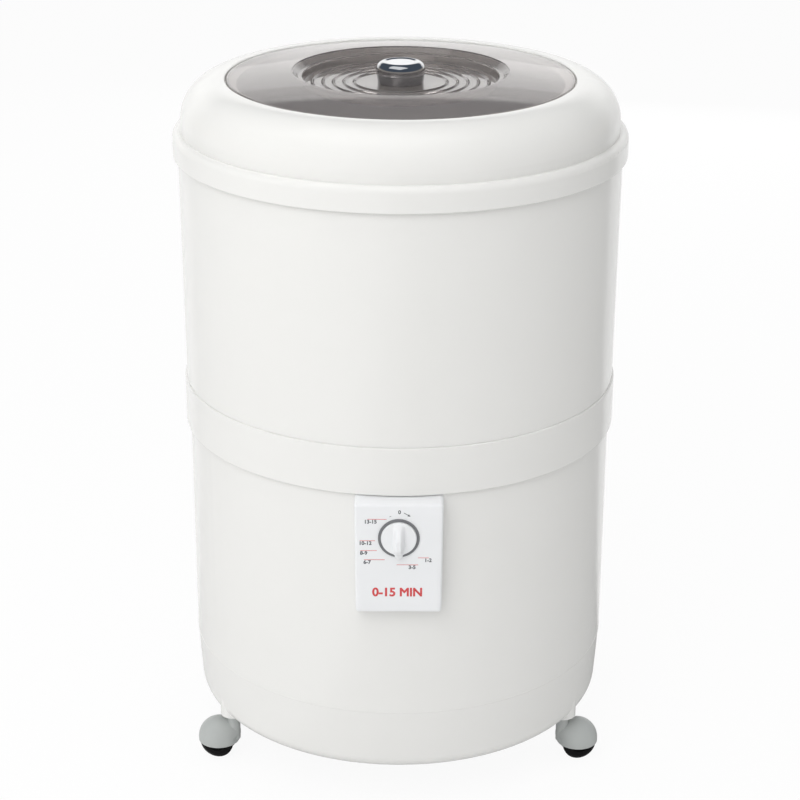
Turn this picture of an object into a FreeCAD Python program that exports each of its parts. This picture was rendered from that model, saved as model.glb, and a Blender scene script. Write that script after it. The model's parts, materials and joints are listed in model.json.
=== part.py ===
"""Round semi-automatic washing machine on three swivel casters, in millimetres.

The machine stands on the floor: +Z is up, the origin lies on the floor under the drum's axis, and the
control panel faces -Y.
"""
import FreeCAD
import Part
import Sketcher
import math
import operator
import os
from types import SimpleNamespace

from FreeCAD import Placement, Rotation, Vector

SIZES = {
    # Base drum
    "ground_clearance": 51.6,
    "base_radius": 221.0,
    "base_wall": 3.0,
    "base_height": 333.4,
    "base_taper": 4.6,
    "crease_height": 69.4,
    "base_corner": 15.0,
    "base_lip": 23.6,
    "pan_thickness": 4.0,
    "pan_overlap": 10.0,
    "pan_vent_gap": 6.0,
    "cut_margin": 1.0,
    # Band and upper drum
    "band_fit": 0.3,
    "band_wall": 4.0,
    "band_skirt": 21.6,
    "band_rise": 25.3,
    "band_ledge": 3.0,
    "band_ledge_width": 4.3,
    "band_round": 1.7,
    "seam_gap": 0.2,
    "upper_step": 2.5,
    "upper_draft": 1.5,
    "upper_height": 267.0,
    "upper_wall": 3.0,
    # Top collar
    "bead_wall": 4.7,
    "bead_drop": 12.0,
    "bead_rise": 13.6,
    "bead_set_in": 8.5,
    "bead_round": 7.0,
    "collar_wall": 3.0,
    "collar_rise": 63.5,
    "shoulder_round": 40.0,
    "crown_land": 5.5,
    "mouth_skirt": 15.0,
    # Lid
    "lid_gap": 1.4,
    "lid_overlap": 10.6,
    "lid_edge": 6.0,
    "lid_sink": 0.5,
    "lid_wall": 2.5,
    "lid_crown": 7.0,
    "lid_crest_radius": 109.0,
    "lid_crest_wall": 3.0,
    "ledge_inset": 6.0,
    "ledge_width": 4.0,
    "ledge_drop": 5.2,
    "dish_inset": 2.5,
    "dish_depth": 12.5,
    "dish_rings": 5.0,
    "ring_inset": 8.0,
    "ring_pitch": 10.5,
    "ring_wire": 1.6,
    "ring_stand": 1.0,
    "lid_knob_radius": 25.0,
    "lid_knob_height": 21.0,
    "lid_knob_round": 8.0,
    # Wash tub
    "tub_wall": 3.0,
    "tub_flange": 3.0,
    "tub_gap": 6.0,
    "tub_draft": 5.0,
    "tub_corner": 40.0,
    "recess_depth": 14.0,
    "floor_land": 20.0,
    "gasket_thickness": 2.0,
    "gasket_width": 5.0,
    # Pulsator
    "pulsator_gap": 8.0,
    "pulsator_plate": 5.0,
    "pulsator_lift": 3.0,
    "pulsator_hub_radius": 18.0,
    "pulsator_hub_rise": 20.0,
    "ridge_radius": 15.0,
    "ridge_tip_radius": 7.0,
    # Shaft and bearings
    "shaft_radius": 8.0,
    "bearing_radius": 16.0,
    "bearing_width": 11.0,
    "seal_height": 8.0,
    "housing_wall": 5.0,
    "housing_length": 95.0,
    "housing_flange": 29.0,
    "housing_flange_thickness": 6.0,
    "boss_rise": 7.0,
    "running_gap": 0.05,
    "seat_gap": 0.02,
    # Belt drive
    "belt_width": 8.0,
    "belt_thickness": 6.0,
    "belt_gap": 0.3,
    "pulley_rim": 5.0,
    "driven_belt_radius": 78.0,
    "motor_belt_radius": 18.0,
    "pulley_web": 6.0,
    "pulley_hub_radius": 17.0,
    "pulley_hub_gap": 1.0,
    "pulley_drop": 23.0,
    "nut_across_flats": 24.0,
    "nut_height": 8.0,
    "motor_offset": 124.0,
    # Motor
    "motor_shaft_radius": 6.0,
    "stator_radius": 52.0,
    "stator_height": 80.0,
    "rotor_radius": 30.0,
    "rotor_gap": 0.5,
    "bell_wall": 3.0,
    "bell_plate": 6.0,
    "bell_overlap": 15.0,
    "bell_boss_radius": 14.0,
    "bell_boss_height": 13.0,
    "fan_gap": 4.0,
    "fan_radius": 46.0,
    "fan_height": 12.0,
    "fan_plate": 2.0,
    "blade_height": 9.0,
    "motor_ear_radius": 11.0,
    "motor_bolt_circle": 64.0,
    "mount_radius": 10.0,
    "capacitor_radius": 19.0,
    "capacitor_height": 62.0,
    "capacitor_inset": 67.8,
    "clip_wall": 2.0,
    "clip_width": 10.0,
    "clip_level": 20.0,
    # Control panel and timer
    "panel_width": 86.4,
    "panel_taper": 1.0,
    "panel_height": 119.6,
    "panel_stand": 15.5,
    "panel_wall": 2.5,
    "panel_rail": 12.0,
    "panel_screw_drop": 18.0,
    "panel_round": 3.0,
    "panel_edge_round": 2.4,
    "panel_slope": 3.6,
    "panel_gap": 0.3,
    "dial_drop": 38.9,
    "dial_ring_radius": 20.2,
    "dial_ring_width": 2.6,
    "dial_ring_stand": 1.2,
    "timer_width": 46.0,
    "timer_height": 40.0,
    "timer_depth": 34.0,
    "timer_clearance": 3.0,
    "timer_headroom": 4.5,
    "timer_shaft_radius": 3.0,
    "timer_shaft_depth": 25.5,
    "knob_skirt": 2.4,
    "knob_gap": 0.3,
    "knob_bar_width": 8.4,
    "knob_bar_stand": 14.7,
    "pointer_reach": 21.5,
    "pointer_length": 3.4,
    # Drain and cord gland
    "drain_inset": 28.0,
    "drain_bore": 9.0,
    "drain_wall": 3.0,
    "drain_stub": 17.0,
    "strainer_fit": 0.2,
    "drain_level": 140.0,
    "drain_bend": 45.0,
    "hose_gap": 1.0,
    "spigot_flange": 6.0,
    "spigot_flange_thickness": 4.0,
    "spigot_reach": 30.2,
    "spigot_tail": 26.0,
    "gland_level": 190.0,
    "gland_bore": 4.0,
    "gland_relief": 0.6,
    "gland_wall": 2.5,
    "gland_reach": 15.0,
    # Casters
    "caster_inset": 12.4,
    "pod_radius": 14.0,
    "pod_height": 20.0,
    "socket_radius": 7.5,
    "socket_length": 36.0,
    "stem_radius": 4.0,
    "caster_trail": 17.5,
    "wheel_radius": 18.0,
    "wheel_width": 7.0,
    "wheel_rim_radius": 13.0,
    "hood_radius": 22.0,
    "hood_wall": 1.6,
    "hood_lift": 3.0,
    "hood_rim": 17.5,
    "web_width": 12.0,
    "axle_boss_radius": 6.5,
    "swivel_neck_radius": 7.0,
    "web_gap": 0.4,
    "axle_radius": 3.0,
    # Screws
    "screw_radius": 1.6,
    "screw_head_radius": 4.0,
    "screw_head_height": 2.6,
    "bolt_radius": 3.0,
    "bolt_head_radius": 5.0,
    "bolt_head_height": 4.0,
    "head_gap": 0.1,
}

CASTER_STEM_ANGLES = {"left": 210.0, "right": 330.0, "rear": 90.0}
CASTER_TRAIL_ANGLES = {"left": 166.0, "right": 14.0, "rear": 90.0}
BAND_SCREW_COUNT = 6
BAND_SCREW_START = 30.0
COLLAR_SCREW_COUNT = 6
PAN_SCREW_COUNT = 3
PAN_SCREW_START = 30.0
CAPACITOR_ANGLE = -30.0
HOUSING_SCREW_COUNT = 4
MOTOR_BOLT_COUNT = 4
RIDGE_COUNT = 4
FAN_BLADE_COUNT = 9
PULLEY_HOLE_COUNT = 5
STRAINER_HOLE_COUNT = 6
EDGE_TOLERANCE = 0.01

ARITHMETIC = {"+": operator.add, "-": operator.sub, "*": operator.mul, "/": operator.truediv}
TURNS = {
    "X": Rotation(Vector(0, 1, 0), 90),
    "Y": Rotation(Vector(1, 0, 0), -90),
    "-Y": Rotation(Vector(1, 0, 0), 90),
    "Z": Rotation(),
    "-Z": Rotation(Vector(1, 0, 0), 180),
}

# Lays a quarter bend so that it starts along -Z and ends along +Y
BEND_TURN = Rotation(Vector(0, -1, 0), Vector(0, 0, -1), Vector(1, 0, 0), "XYZ")


class Size:
    """A length that carries its value and the sheet formula that gives it."""

    def __init__(self, formula, value):
        self.formula = formula
        self.value = float(value)

    def __add__(self, other):
        return combined("+", self, other)

    def __radd__(self, other):
        return combined("+", other, self)

    def __sub__(self, other):
        return combined("-", self, other)

    def __rsub__(self, other):
        return combined("-", other, self)

    def __mul__(self, other):
        return combined("*", self, other)

    def __rmul__(self, other):
        return combined("*", other, self)

    def __truediv__(self, other):
        return combined("/", self, other)

    def __neg__(self):
        return combined("-", 0, self)


def as_size(number):
    """A plain number as a Size, and a Size as it is."""
    if isinstance(number, Size):
        return number
    return Size(f"{round(float(number), 9)!r}", number)


def combined(sign, left, right):
    """Two lengths joined by an arithmetic sign, in value and in formula."""
    left, right = as_size(left), as_size(right)
    value = ARITHMETIC[sign](left.value, right.value)
    return Size(f"({left.formula} {sign} {right.formula})", value)


def root(size):
    """The square root of a size."""
    return Size(f"sqrt({size.formula})", math.sqrt(size.value))


doc = FreeCAD.newDocument("WashingMachine")
sheet = doc.addObject("Spreadsheet::Sheet", "Sizes")
for row, (alias, number) in enumerate(SIZES.items(), start=1):
    sheet.set(f"A{row}", alias)
    sheet.set(f"B{row}", str(number))
    sheet.setAlias(f"B{row}", alias)
doc.recompute()
S = SimpleNamespace(**{alias: Size(f"Sizes.{alias}", sheet.get(alias)) for alias in SIZES})
parts = []


def bind(item, sizes):
    """Bind an object's properties to the sheet."""
    for path, size in sizes.items():
        item.setExpression(path, as_size(size).formula)


def place(item, at=(0, 0, 0), turn=TURNS["Z"]):
    """Put an object at a point made of sizes, turned as given."""
    at = [as_size(number) for number in at]
    item.Placement = Placement(Vector(*[number.value for number in at]), turn)
    bind(item, {f"Placement.Base.{axis}": number for axis, number in zip("xyz", at)})
    return item


def part(label, item):
    """Keep a finished piece under its node's name."""
    item.Label = label
    parts.append(item)
    return item


def around(count, start=0.0):
    """Evenly spaced angles round the axis, in degrees."""
    return [start + 360.0 * index / count for index in range(count)]


def polar(radius, angle):
    """The x and y of a point at a radius and an angle in degrees."""
    turn = math.radians(angle)
    return radius * round(math.cos(turn), 9), radius * round(math.sin(turn), 9)


def outward(angle):
    """The turn that lays an object's Z axis along the radius at an angle."""
    return Rotation(Vector(0, 0, 1), angle).multiply(TURNS["X"])


def sketch_on(body, role):
    """A new sketch on one of a body's own origin planes."""
    sketch = body.newObject("Sketcher::SketchObject", body.Name + "_outline")
    plane = next(item for item in body.Origin.OriginFeatures if item.Role == role)
    sketch.AttachmentSupport = (plane, [""])
    sketch.MapMode = "FlatFace"
    return sketch


def pin_down(sketch, geometry, end, x, y):
    """Fix a point of a sketch by its two distances from the sketch's origin."""
    for kind, axis, size in (("DistanceX", -2, as_size(x)), ("DistanceY", -1, as_size(y))):
        if size.formula == "0.0":
            sketch.addConstraint(Sketcher.Constraint("PointOnObject", geometry, end, axis))
        else:
            index = sketch.addConstraint(
                Sketcher.Constraint(kind, -1, 1, geometry, end, size.value))
            sketch.setExpression(f"Constraints[{index}]", size.formula)


def rounding(before, corner, after, radius):
    """Where a round of a corner starts and ends, its middle, and whether it turns left."""
    back = (before - corner).normalize()
    ahead = (after - corner).normalize()
    half = back.getAngle(ahead) / 2
    start = corner + back * (radius / math.tan(half))
    end = corner + ahead * (radius / math.tan(half))
    middle = corner + (back + ahead).normalize() * (radius / math.sin(half))
    turns_left = (corner - before).cross(after - corner).z > 0
    return start, end, middle, turns_left


def draw_outline(sketch, corners):
    """Draw a closed outline through corners (x, y) or (x, y, radius of the round there)."""
    corners = [tuple(as_size(number) for number in corner) for corner in corners]
    points = [Vector(corner[0].value, corner[1].value, 0) for corner in corners]
    count = len(corners)
    rounds = {}
    for index, corner in enumerate(corners):
        if len(corner) == 3:
            rounds[index] = rounding(
                points[index - 1], points[index], points[(index + 1) % count], corner[2].value)
    lines = []
    for index in range(count):
        following = (index + 1) % count
        start = rounds[index][1] if index in rounds else points[index]
        end = rounds[following][0] if following in rounds else points[following]
        lines.append(sketch.addGeometry(Part.LineSegment(start, end)))
    for index, corner in enumerate(corners):
        arriving, leaving = lines[index - 1], lines[index]
        if index not in rounds:
            sketch.addConstraint(Sketcher.Constraint("Coincident", arriving, 2, leaving, 1))
            pin_down(sketch, leaving, 1, corner[0], corner[1])
            continue
        start, end, middle, turns_left = rounds[index]
        first, last = (start, end) if turns_left else (end, start)
        circle = Part.Circle(middle, Vector(0, 0, 1), corner[2].value)
        arc = sketch.addGeometry(
            Part.ArcOfCircle(circle, circle.parameter(first), circle.parameter(last)))
        near, far = (1, 2) if turns_left else (2, 1)
        sketch.addConstraint(Sketcher.Constraint("Tangent", arriving, 2, arc, near))
        sketch.addConstraint(Sketcher.Constraint("Tangent", leaving, 1, arc, far))
        radius = sketch.addConstraint(Sketcher.Constraint("Radius", arc, corner[2].value))
        sketch.setExpression(f"Constraints[{radius}]", corner[2].formula)
        tip = sketch.addGeometry(Part.Point(points[index]), True)
        sketch.addConstraint(Sketcher.Constraint("PointOnObject", tip, 1, arriving))
        sketch.addConstraint(Sketcher.Constraint("PointOnObject", tip, 1, leaving))
        pin_down(sketch, tip, 1, corner[0], corner[1])


def turned(name, corners):
    """A solid of revolution about Z from an outline of (radius, height) corners."""
    body = doc.addObject("PartDesign::Body", name)
    sketch = sketch_on(body, "XZ_Plane")
    draw_outline(sketch, corners)
    turn = body.newObject("PartDesign::Revolution", name + "_turn")
    turn.Profile = sketch
    turn.ReferenceAxis = (sketch, ["V_Axis"])
    turn.Angle = 360.0
    return body


def extruded(name, role, corners, length, both_ways=False):
    """A solid extruded from an outline on one of its body's planes."""
    body = doc.addObject("PartDesign::Body", name)
    sketch = sketch_on(body, role)
    draw_outline(sketch, corners)
    pad = body.newObject("PartDesign::Pad", name + "_pad")
    pad.Profile = sketch
    if both_ways:
        pad.SideType = "Symmetric"
    bind(pad, {"Length": length})
    return body


def cylinder(name, radius, length, at=(0, 0, 0), turn=TURNS["Z"]):
    """A cylinder that starts at a point and runs along its turned Z axis."""
    item = doc.addObject("Part::Cylinder", name)
    bind(item, {"Radius": radius, "Height": length})
    return place(item, at, turn)


def block(name, lengths, at):
    """A box from its lowest corner."""
    item = doc.addObject("Part::Box", name)
    bind(item, dict(zip(("Length", "Width", "Height"), lengths)))
    return place(item, at)


def ball(name, radius, at):
    """A sphere about a point."""
    item = doc.addObject("Part::Sphere", name)
    bind(item, {"Radius": radius})
    return place(item, at)


def hoop(name, radius, wire, at, turn=TURNS["Z"], sweep=360.0):
    """A torus, or the first part of one, about its turned Z axis."""
    item = doc.addObject("Part::Torus", name)
    item.Angle3 = sweep
    bind(item, {"Radius1": radius, "Radius2": wire})
    return place(item, at, turn)


def fused(name, items):
    """Several overlapping solids made one."""
    item = doc.addObject("Part::MultiFuse", name)
    item.Shapes = items
    item.Refine = True
    return item


def gathered(name, items):
    """Several separate solids kept together."""
    item = doc.addObject("Part::Compound", name)
    item.Links = items
    return item


def less(name, whole, cutters):
    """A solid with cutters taken away."""
    item = doc.addObject("Part::Cut", name)
    item.Base = whole
    item.Tool = gathered(name + "_cutters", cutters) if len(cutters) > 1 else cutters[0]
    item.Refine = True
    return item


def shared(name, first, second):
    """What two solids have in common."""
    item = doc.addObject("Part::Common", name)
    item.Base = first
    item.Tool = second
    return item


def tube(name, outer, inner, length, at=(0, 0, 0), turn=TURNS["Z"]):
    """A straight tube that starts at a point and runs along its turned Z axis."""
    wall = cylinder(name + "_outside", outer, length, at, turn)
    bore = cylinder(name + "_inside", inner, length, at, turn)
    return less(name, wall, [bore])


def headed(name, head_radius, head_height, shank_radius, shank_length, at, turn=TURNS["Z"]):
    """A screw whose head's underside is at a point and whose shank runs along its turned Z axis."""
    head = cylinder(name + "_head", head_radius, head_height, (0, 0, -head_height))
    shank = cylinder(name + "_shank", shank_radius, shank_length)
    return place(fused(name, [head, shank]), at, turn)


# Heights above the floor
base_bottom = S.ground_clearance
base_top = base_bottom + S.base_height
crease_level = base_bottom + S.crease_height
pan_bottom = base_bottom + S.base_wall
pan_top = pan_bottom + S.pan_thickness
band_bottom = base_top - S.band_skirt
upper_bottom = base_top + S.band_ledge
band_top = upper_bottom + S.band_rise
upper_foot = band_top + S.seam_gap
upper_top = upper_bottom + S.upper_height
flange_top = upper_top + S.tub_flange
collar_seat = flange_top + S.gasket_thickness
crown_level = collar_seat + S.collar_rise
lid_seat = crown_level - S.lid_sink - S.lid_edge
lid_edge_top = lid_seat + S.lid_edge
lid_crest = lid_edge_top + S.lid_crown
ledge_level = lid_crest - S.ledge_drop
dish_floor = lid_crest - S.dish_depth
dial_level = band_bottom - S.dial_drop
tub_underside = dial_level + S.timer_height / 2 + S.timer_headroom
tub_floor = tub_underside + S.tub_wall
recess_floor = tub_floor - S.recess_depth
housing_top = recess_floor - S.tub_wall
housing_bottom = housing_top - S.housing_length
boss_top = recess_floor + S.boss_rise
seal_bottom = boss_top - S.seal_height
upper_bearing_bottom = seal_bottom - S.bearing_width
pulsator_bottom = boss_top + S.pulsator_lift
pulsator_top = pulsator_bottom + S.pulsator_plate
hub_top = pulsator_top + S.pulsator_hub_rise
belt_level = housing_bottom - S.pulley_drop

# Radii about the drum's axis
foot_radius = S.base_radius - S.base_taper
base_inside = S.base_radius - S.base_wall
pan_opening = foot_radius - S.base_corner - S.base_lip
pan_radius = pan_opening + S.pan_overlap
band_inside = S.base_radius + S.band_fit
band_radius = band_inside + S.band_wall
upper_low_radius = S.base_radius + S.upper_step
upper_radius = upper_low_radius + S.upper_draft
bead_inside = upper_radius + S.band_fit
bead_radius = bead_inside + S.bead_wall
collar_radius = bead_radius - S.bead_set_in
recess_edge = collar_radius - S.shoulder_round - S.crown_land
lid_radius = recess_edge - S.lid_gap
mouth_radius = lid_radius - S.lid_overlap
ledge_radius = S.lid_crest_radius - S.ledge_inset
ledge_inside = ledge_radius - S.ledge_width
dish_radius = ledge_inside - S.dish_inset
tub_top_radius = upper_radius - S.upper_wall - S.tub_gap
tub_low_radius = tub_top_radius - S.tub_draft
tub_low_inside = tub_low_radius - S.tub_wall
recess_radius = tub_low_inside - S.tub_corner - S.floor_land
pulsator_radius = recess_radius - S.pulsator_gap
housing_radius = S.bearing_radius + S.housing_wall
panel_front = S.base_radius + S.panel_stand
timer_front = panel_front - S.panel_wall
stem_circle = foot_radius - S.caster_inset
drain_place = recess_radius - S.drain_inset
capacitor_place = pan_radius - S.capacitor_inset

# Centre lines shared by several pieces
motor_x = -S.motor_offset
drain_radius = S.drain_bore + S.drain_wall
hose_radius = drain_radius + S.drain_wall
spigot_end = S.base_radius + S.spigot_reach
screw_hole = S.screw_radius + S.seat_gap
bolt_hole = S.bolt_radius + S.seat_gap


def radial_holes(name, count, start, inner, length, level):
    """Cutters for screws that point outward through a wall."""
    cutters = []
    for angle in around(count, start):
        at = (*polar(inner, angle), level)
        cutters.append(cylinder(f"{name}_{int(angle)}", screw_hole, length, at, outward(angle)))
    return cutters


def radial_screws(name, count, start, inner, length, level):
    """Screws whose heads lie inside a round wall and whose shanks point outward."""
    screws = []
    for angle in around(count, start):
        at = (*polar(inner - S.head_gap, angle), level)
        screws.append(headed(f"{name}_{int(angle)}", S.screw_head_radius, S.screw_head_height,
                             S.screw_radius, length, at, outward(angle)))
    return screws


base_screw_level = base_top - S.band_skirt / 2
shell_screw_level = upper_bottom + S.band_rise / 2
collar_screw_level = upper_top - S.bead_drop / 2 + S.tub_flange / 2
spigot_inside = upper_low_radius - S.upper_step - S.upper_wall
band_screw_reach = S.base_wall + S.band_fit + S.band_wall / 2
shell_screw_reach = S.upper_wall + S.band_fit + S.band_wall / 2
collar_screw_reach = S.upper_wall + S.band_fit + S.bead_wall / 2 + S.upper_draft
shell_inside = upper_radius - S.upper_wall - S.upper_draft
base_band_holes = radial_holes("base_band_hole", BAND_SCREW_COUNT, BAND_SCREW_START,
                               base_inside - S.cut_margin, band_screw_reach + S.cut_margin,
                               base_screw_level)
shell_band_holes = radial_holes("shell_band_hole", BAND_SCREW_COUNT, BAND_SCREW_START,
                                spigot_inside - S.cut_margin, shell_screw_reach + S.cut_margin,
                                shell_screw_level)
collar_holes = radial_holes("collar_hole", COLLAR_SCREW_COUNT, 0.0,
                            shell_inside - S.cut_margin, collar_screw_reach + S.cut_margin,
                            collar_screw_level)


def panel_screw_places():
    """The x and z of the four screws that hold the panel."""
    x = (S.panel_width - S.panel_rail) / 2
    low = band_bottom - S.panel_height + S.panel_rail
    high = band_bottom - S.panel_screw_drop
    return [(side * x, level) for side in (-1, 1) for level in (low, high)]


panel_screw_seat = root(base_inside * base_inside - S.panel_width * S.panel_width / 4)
panel_screw_reach = panel_front - panel_screw_seat - 2 * S.panel_wall
panel_holes = [
    cylinder(f"panel_hole_{index}", screw_hole, panel_screw_reach + S.cut_margin,
             (x, S.cut_margin - panel_screw_seat, level), TURNS["-Y"])
    for index, (x, level) in enumerate(panel_screw_places())]


def base_shell():
    """The lower drum with its drawn-in foot, caster pods and openings."""
    wall = turned("base_drum", [
        (pan_opening, base_bottom),
        (foot_radius, base_bottom, S.base_corner),
        (S.base_radius, crease_level),
        (S.base_radius, base_top),
        (base_inside, base_top),
        (base_inside, crease_level),
        (foot_radius - S.base_wall, pan_bottom, S.base_corner - S.base_wall),
        (pan_opening, pan_bottom)])
    pods = []
    bores = []
    for side, angle in CASTER_STEM_ANGLES.items():
        at = (*polar(stem_circle, angle), base_bottom)
        boss_radius = S.socket_radius + S.base_wall
        pods.append(cylinder(f"pod_{side}", S.pod_radius, S.pod_height, at))
        pods.append(cylinder(f"pod_boss_{side}", boss_radius, S.socket_length + S.base_wall, at))
        bores.append(cylinder(f"pod_bore_{side}", S.socket_radius + S.seat_gap, S.socket_length, at))
    window_width = S.timer_width + 2 * S.timer_clearance
    window = block("timer_window", (window_width, panel_front, S.timer_height + 2 * S.timer_clearance),
                   (-window_width / 2, -panel_front,
                    dial_level - S.timer_height / 2 - S.timer_clearance))
    inside = timer_front - S.timer_depth - S.timer_clearance
    keep = cylinder("window_keep", inside, base_top)
    spigot_hole = cylinder("spigot_hole", drain_radius + S.seat_gap, 2 * S.base_wall,
                           (0, base_inside - S.base_wall, S.drain_level), TURNS["Y"])
    gland_hole = cylinder("gland_hole", S.gland_bore + S.gland_wall + S.seat_gap, 2 * S.base_wall,
                          (0, base_inside - S.base_wall, S.gland_level), TURNS["Y"])
    cutters = bores + [less("window_cut", window, [keep]), spigot_hole, gland_hole]
    cutters += base_band_holes + panel_holes + pan_screw_holes()
    part("base_shell", less("base_shell", fused("base_with_pods", [wall] + pods), cutters))


def pan_screw_holes():
    """Cutters for the screws that hold the pan to the base's lip."""
    radius = pan_opening + S.pan_overlap / 2
    return [cylinder(f"pan_hole_{int(angle)}", screw_hole, S.base_wall + S.pan_thickness,
                     (*polar(radius, angle), base_bottom + S.base_wall / 2))
            for angle in around(PAN_SCREW_COUNT, PAN_SCREW_START)]


def motor_bolt_places():
    """The x and y of the motor's bolts."""
    places = []
    for angle in around(MOTOR_BOLT_COUNT, 180.0 / MOTOR_BOLT_COUNT):
        x, y = polar(S.motor_bolt_circle, angle)
        places.append((motor_x + x, y))
    return places


def base_pan():
    """The flat pan that closes the base and carries the motor."""
    disc = cylinder("pan_disc", pan_radius, S.pan_thickness, (0, 0, pan_bottom))
    holes = [cylinder(f"pan_motor_hole_{index}", bolt_hole, S.pan_thickness, (x, y, pan_bottom))
             for index, (x, y) in enumerate(motor_bolt_places())]
    cutters = holes + [cylinder(f"pan_pass_{int(angle)}", screw_hole, S.pan_thickness,
                                (*polar(pan_opening + S.pan_overlap / 2, angle), pan_bottom))
                       for angle in around(PAN_SCREW_COUNT, PAN_SCREW_START)]
    vent = cylinder("pan_vent", S.bell_boss_radius + S.pan_vent_gap, S.pan_thickness,
                    (motor_x, 0, pan_bottom))
    part("base_pan", less("base_pan", disc, cutters + [vent]))
    screws = [headed(f"pan_screw_{int(angle)}", S.screw_head_radius, S.screw_head_height,
                     S.screw_radius, S.pan_thickness + S.base_wall / 2,
                     (*polar(pan_opening + S.pan_overlap / 2, angle), pan_top), TURNS["-Z"])
              for angle in around(PAN_SCREW_COUNT, PAN_SCREW_START)]
    part("base_pan_screws", gathered("base_pan_screws", screws))


def joining_band():
    """The proud band over the joint of the two drums, with a ledge between them."""
    ledge = band_inside - S.band_ledge_width
    ring = turned("band_ring", [
        (band_inside, band_bottom),
        (band_radius, band_bottom, S.band_round),
        (band_radius, band_top, S.band_round),
        (band_inside, band_top),
        (band_inside, upper_bottom),
        (ledge, upper_bottom),
        (ledge, base_top),
        (band_inside, base_top)])
    part("joining_band", less("joining_band", ring, base_band_holes + shell_band_holes))
    screws = radial_screws("base_band_screw", BAND_SCREW_COUNT, BAND_SCREW_START, base_inside,
                           band_screw_reach, base_screw_level)
    screws += radial_screws("shell_band_screw", BAND_SCREW_COUNT, BAND_SCREW_START, spigot_inside,
                            shell_screw_reach, shell_screw_level)
    part("band_screws", gathered("band_screws", screws))


def upper_shell():
    """The upper drum, stepped in at its foot to plug into the band."""
    inside_foot = upper_foot + S.upper_wall
    drum = turned("upper_drum", [
        (spigot_inside, upper_bottom),
        (S.base_radius, upper_bottom),
        (S.base_radius, upper_foot),
        (upper_low_radius, upper_foot),
        (upper_radius, upper_top),
        (upper_radius - S.upper_wall, upper_top),
        (upper_low_radius - S.upper_wall, inside_foot),
        (spigot_inside, inside_foot)])
    part("upper_shell", less("upper_shell", drum, shell_band_holes + collar_holes))


def top_collar():
    """The rounded top with its outer bead, lid seat and loading mouth."""
    wall = S.collar_wall
    inside = collar_radius - wall
    seat_underside = lid_seat - wall
    ring = turned("collar_ring", [
        (bead_inside, collar_seat - S.bead_drop),
        (bead_radius, collar_seat - S.bead_drop, wall / 2),
        (bead_radius, collar_seat + S.bead_rise, S.bead_round),
        (collar_radius, collar_seat + S.bead_rise),
        (collar_radius, crown_level, S.shoulder_round),
        (recess_edge, crown_level, wall / 2),
        (recess_edge, lid_seat),
        (mouth_radius, lid_seat, wall / 2),
        (mouth_radius, lid_seat - S.mouth_skirt),
        (mouth_radius + wall, lid_seat - S.mouth_skirt),
        (mouth_radius + wall, seat_underside),
        (recess_edge + wall, seat_underside),
        (recess_edge + wall, crown_level - wall),
        (inside, crown_level - wall, S.shoulder_round - wall),
        (inside, collar_seat),
        (bead_inside, collar_seat)])
    part("top_collar", less("top_collar", ring, collar_holes))
    screws = radial_screws("collar_screw", COLLAR_SCREW_COUNT, 0.0, shell_inside, collar_screw_reach,
                           collar_screw_level)
    part("collar_screws", gathered("collar_screws", screws))


def lid():
    """The see-through lid: a crowned flange round a stepped, ringed dish, with a knob in its middle."""
    wall = S.lid_wall
    dish_underside = dish_floor - wall
    knob_hole = cylinder("lid_knob_hole", screw_hole, wall, (0, 0, dish_underside))
    disc = turned("lid_disc", [
        (0, dish_underside),
        (dish_radius + wall / 2, dish_underside),
        (ledge_inside + wall / 2, ledge_level - wall),
        (ledge_radius + wall / 2, ledge_level - wall),
        (S.lid_crest_radius, lid_crest - S.lid_crest_wall),
        (lid_radius - wall, lid_edge_top - wall),
        (lid_radius - wall, lid_seat),
        (lid_radius, lid_seat),
        (lid_radius, lid_edge_top, wall / 2),
        (S.lid_crest_radius, lid_crest, wall),
        (ledge_radius, ledge_level, wall / 2),
        (ledge_inside, ledge_level, wall / 2),
        (dish_radius, dish_floor, wall / 2),
        (0, dish_floor)])
    rings = [hoop(f"lid_ring_{index}", dish_radius - S.ring_inset - index * S.ring_pitch, S.ring_wire,
                  (0, 0, dish_floor + S.ring_stand - S.ring_wire))
             for index in range(int(S.dish_rings.value))]
    part("lid", less("lid", fused("lid_with_rings", [disc] + rings), [knob_hole]))
    grip = turned("lid_grip", [
        (0, dish_floor),
        (S.lid_knob_radius - wall / 2, dish_floor),
        (S.lid_knob_radius, dish_floor + S.lid_knob_height, S.lid_knob_round),
        (0, dish_floor + S.lid_knob_height)])
    reach = S.lid_knob_height / 2
    thread = cylinder("lid_knob_thread", screw_hole, reach, (0, 0, dish_floor))
    part("lid_knob", less("lid_knob", grip, [thread]))
    part("lid_knob_screw", headed("lid_knob_screw", S.screw_head_radius, S.screw_head_height,
                                  S.screw_radius, reach + wall, (0, 0, dish_underside)))


def housing_screw_places():
    """The x and y of the screws that hold the bearing housing to the tub."""
    radius = housing_radius + S.housing_flange / 2
    return [polar(radius, angle) for angle in around(HOUSING_SCREW_COUNT, 180.0 / HOUSING_SCREW_COUNT)]


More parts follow.
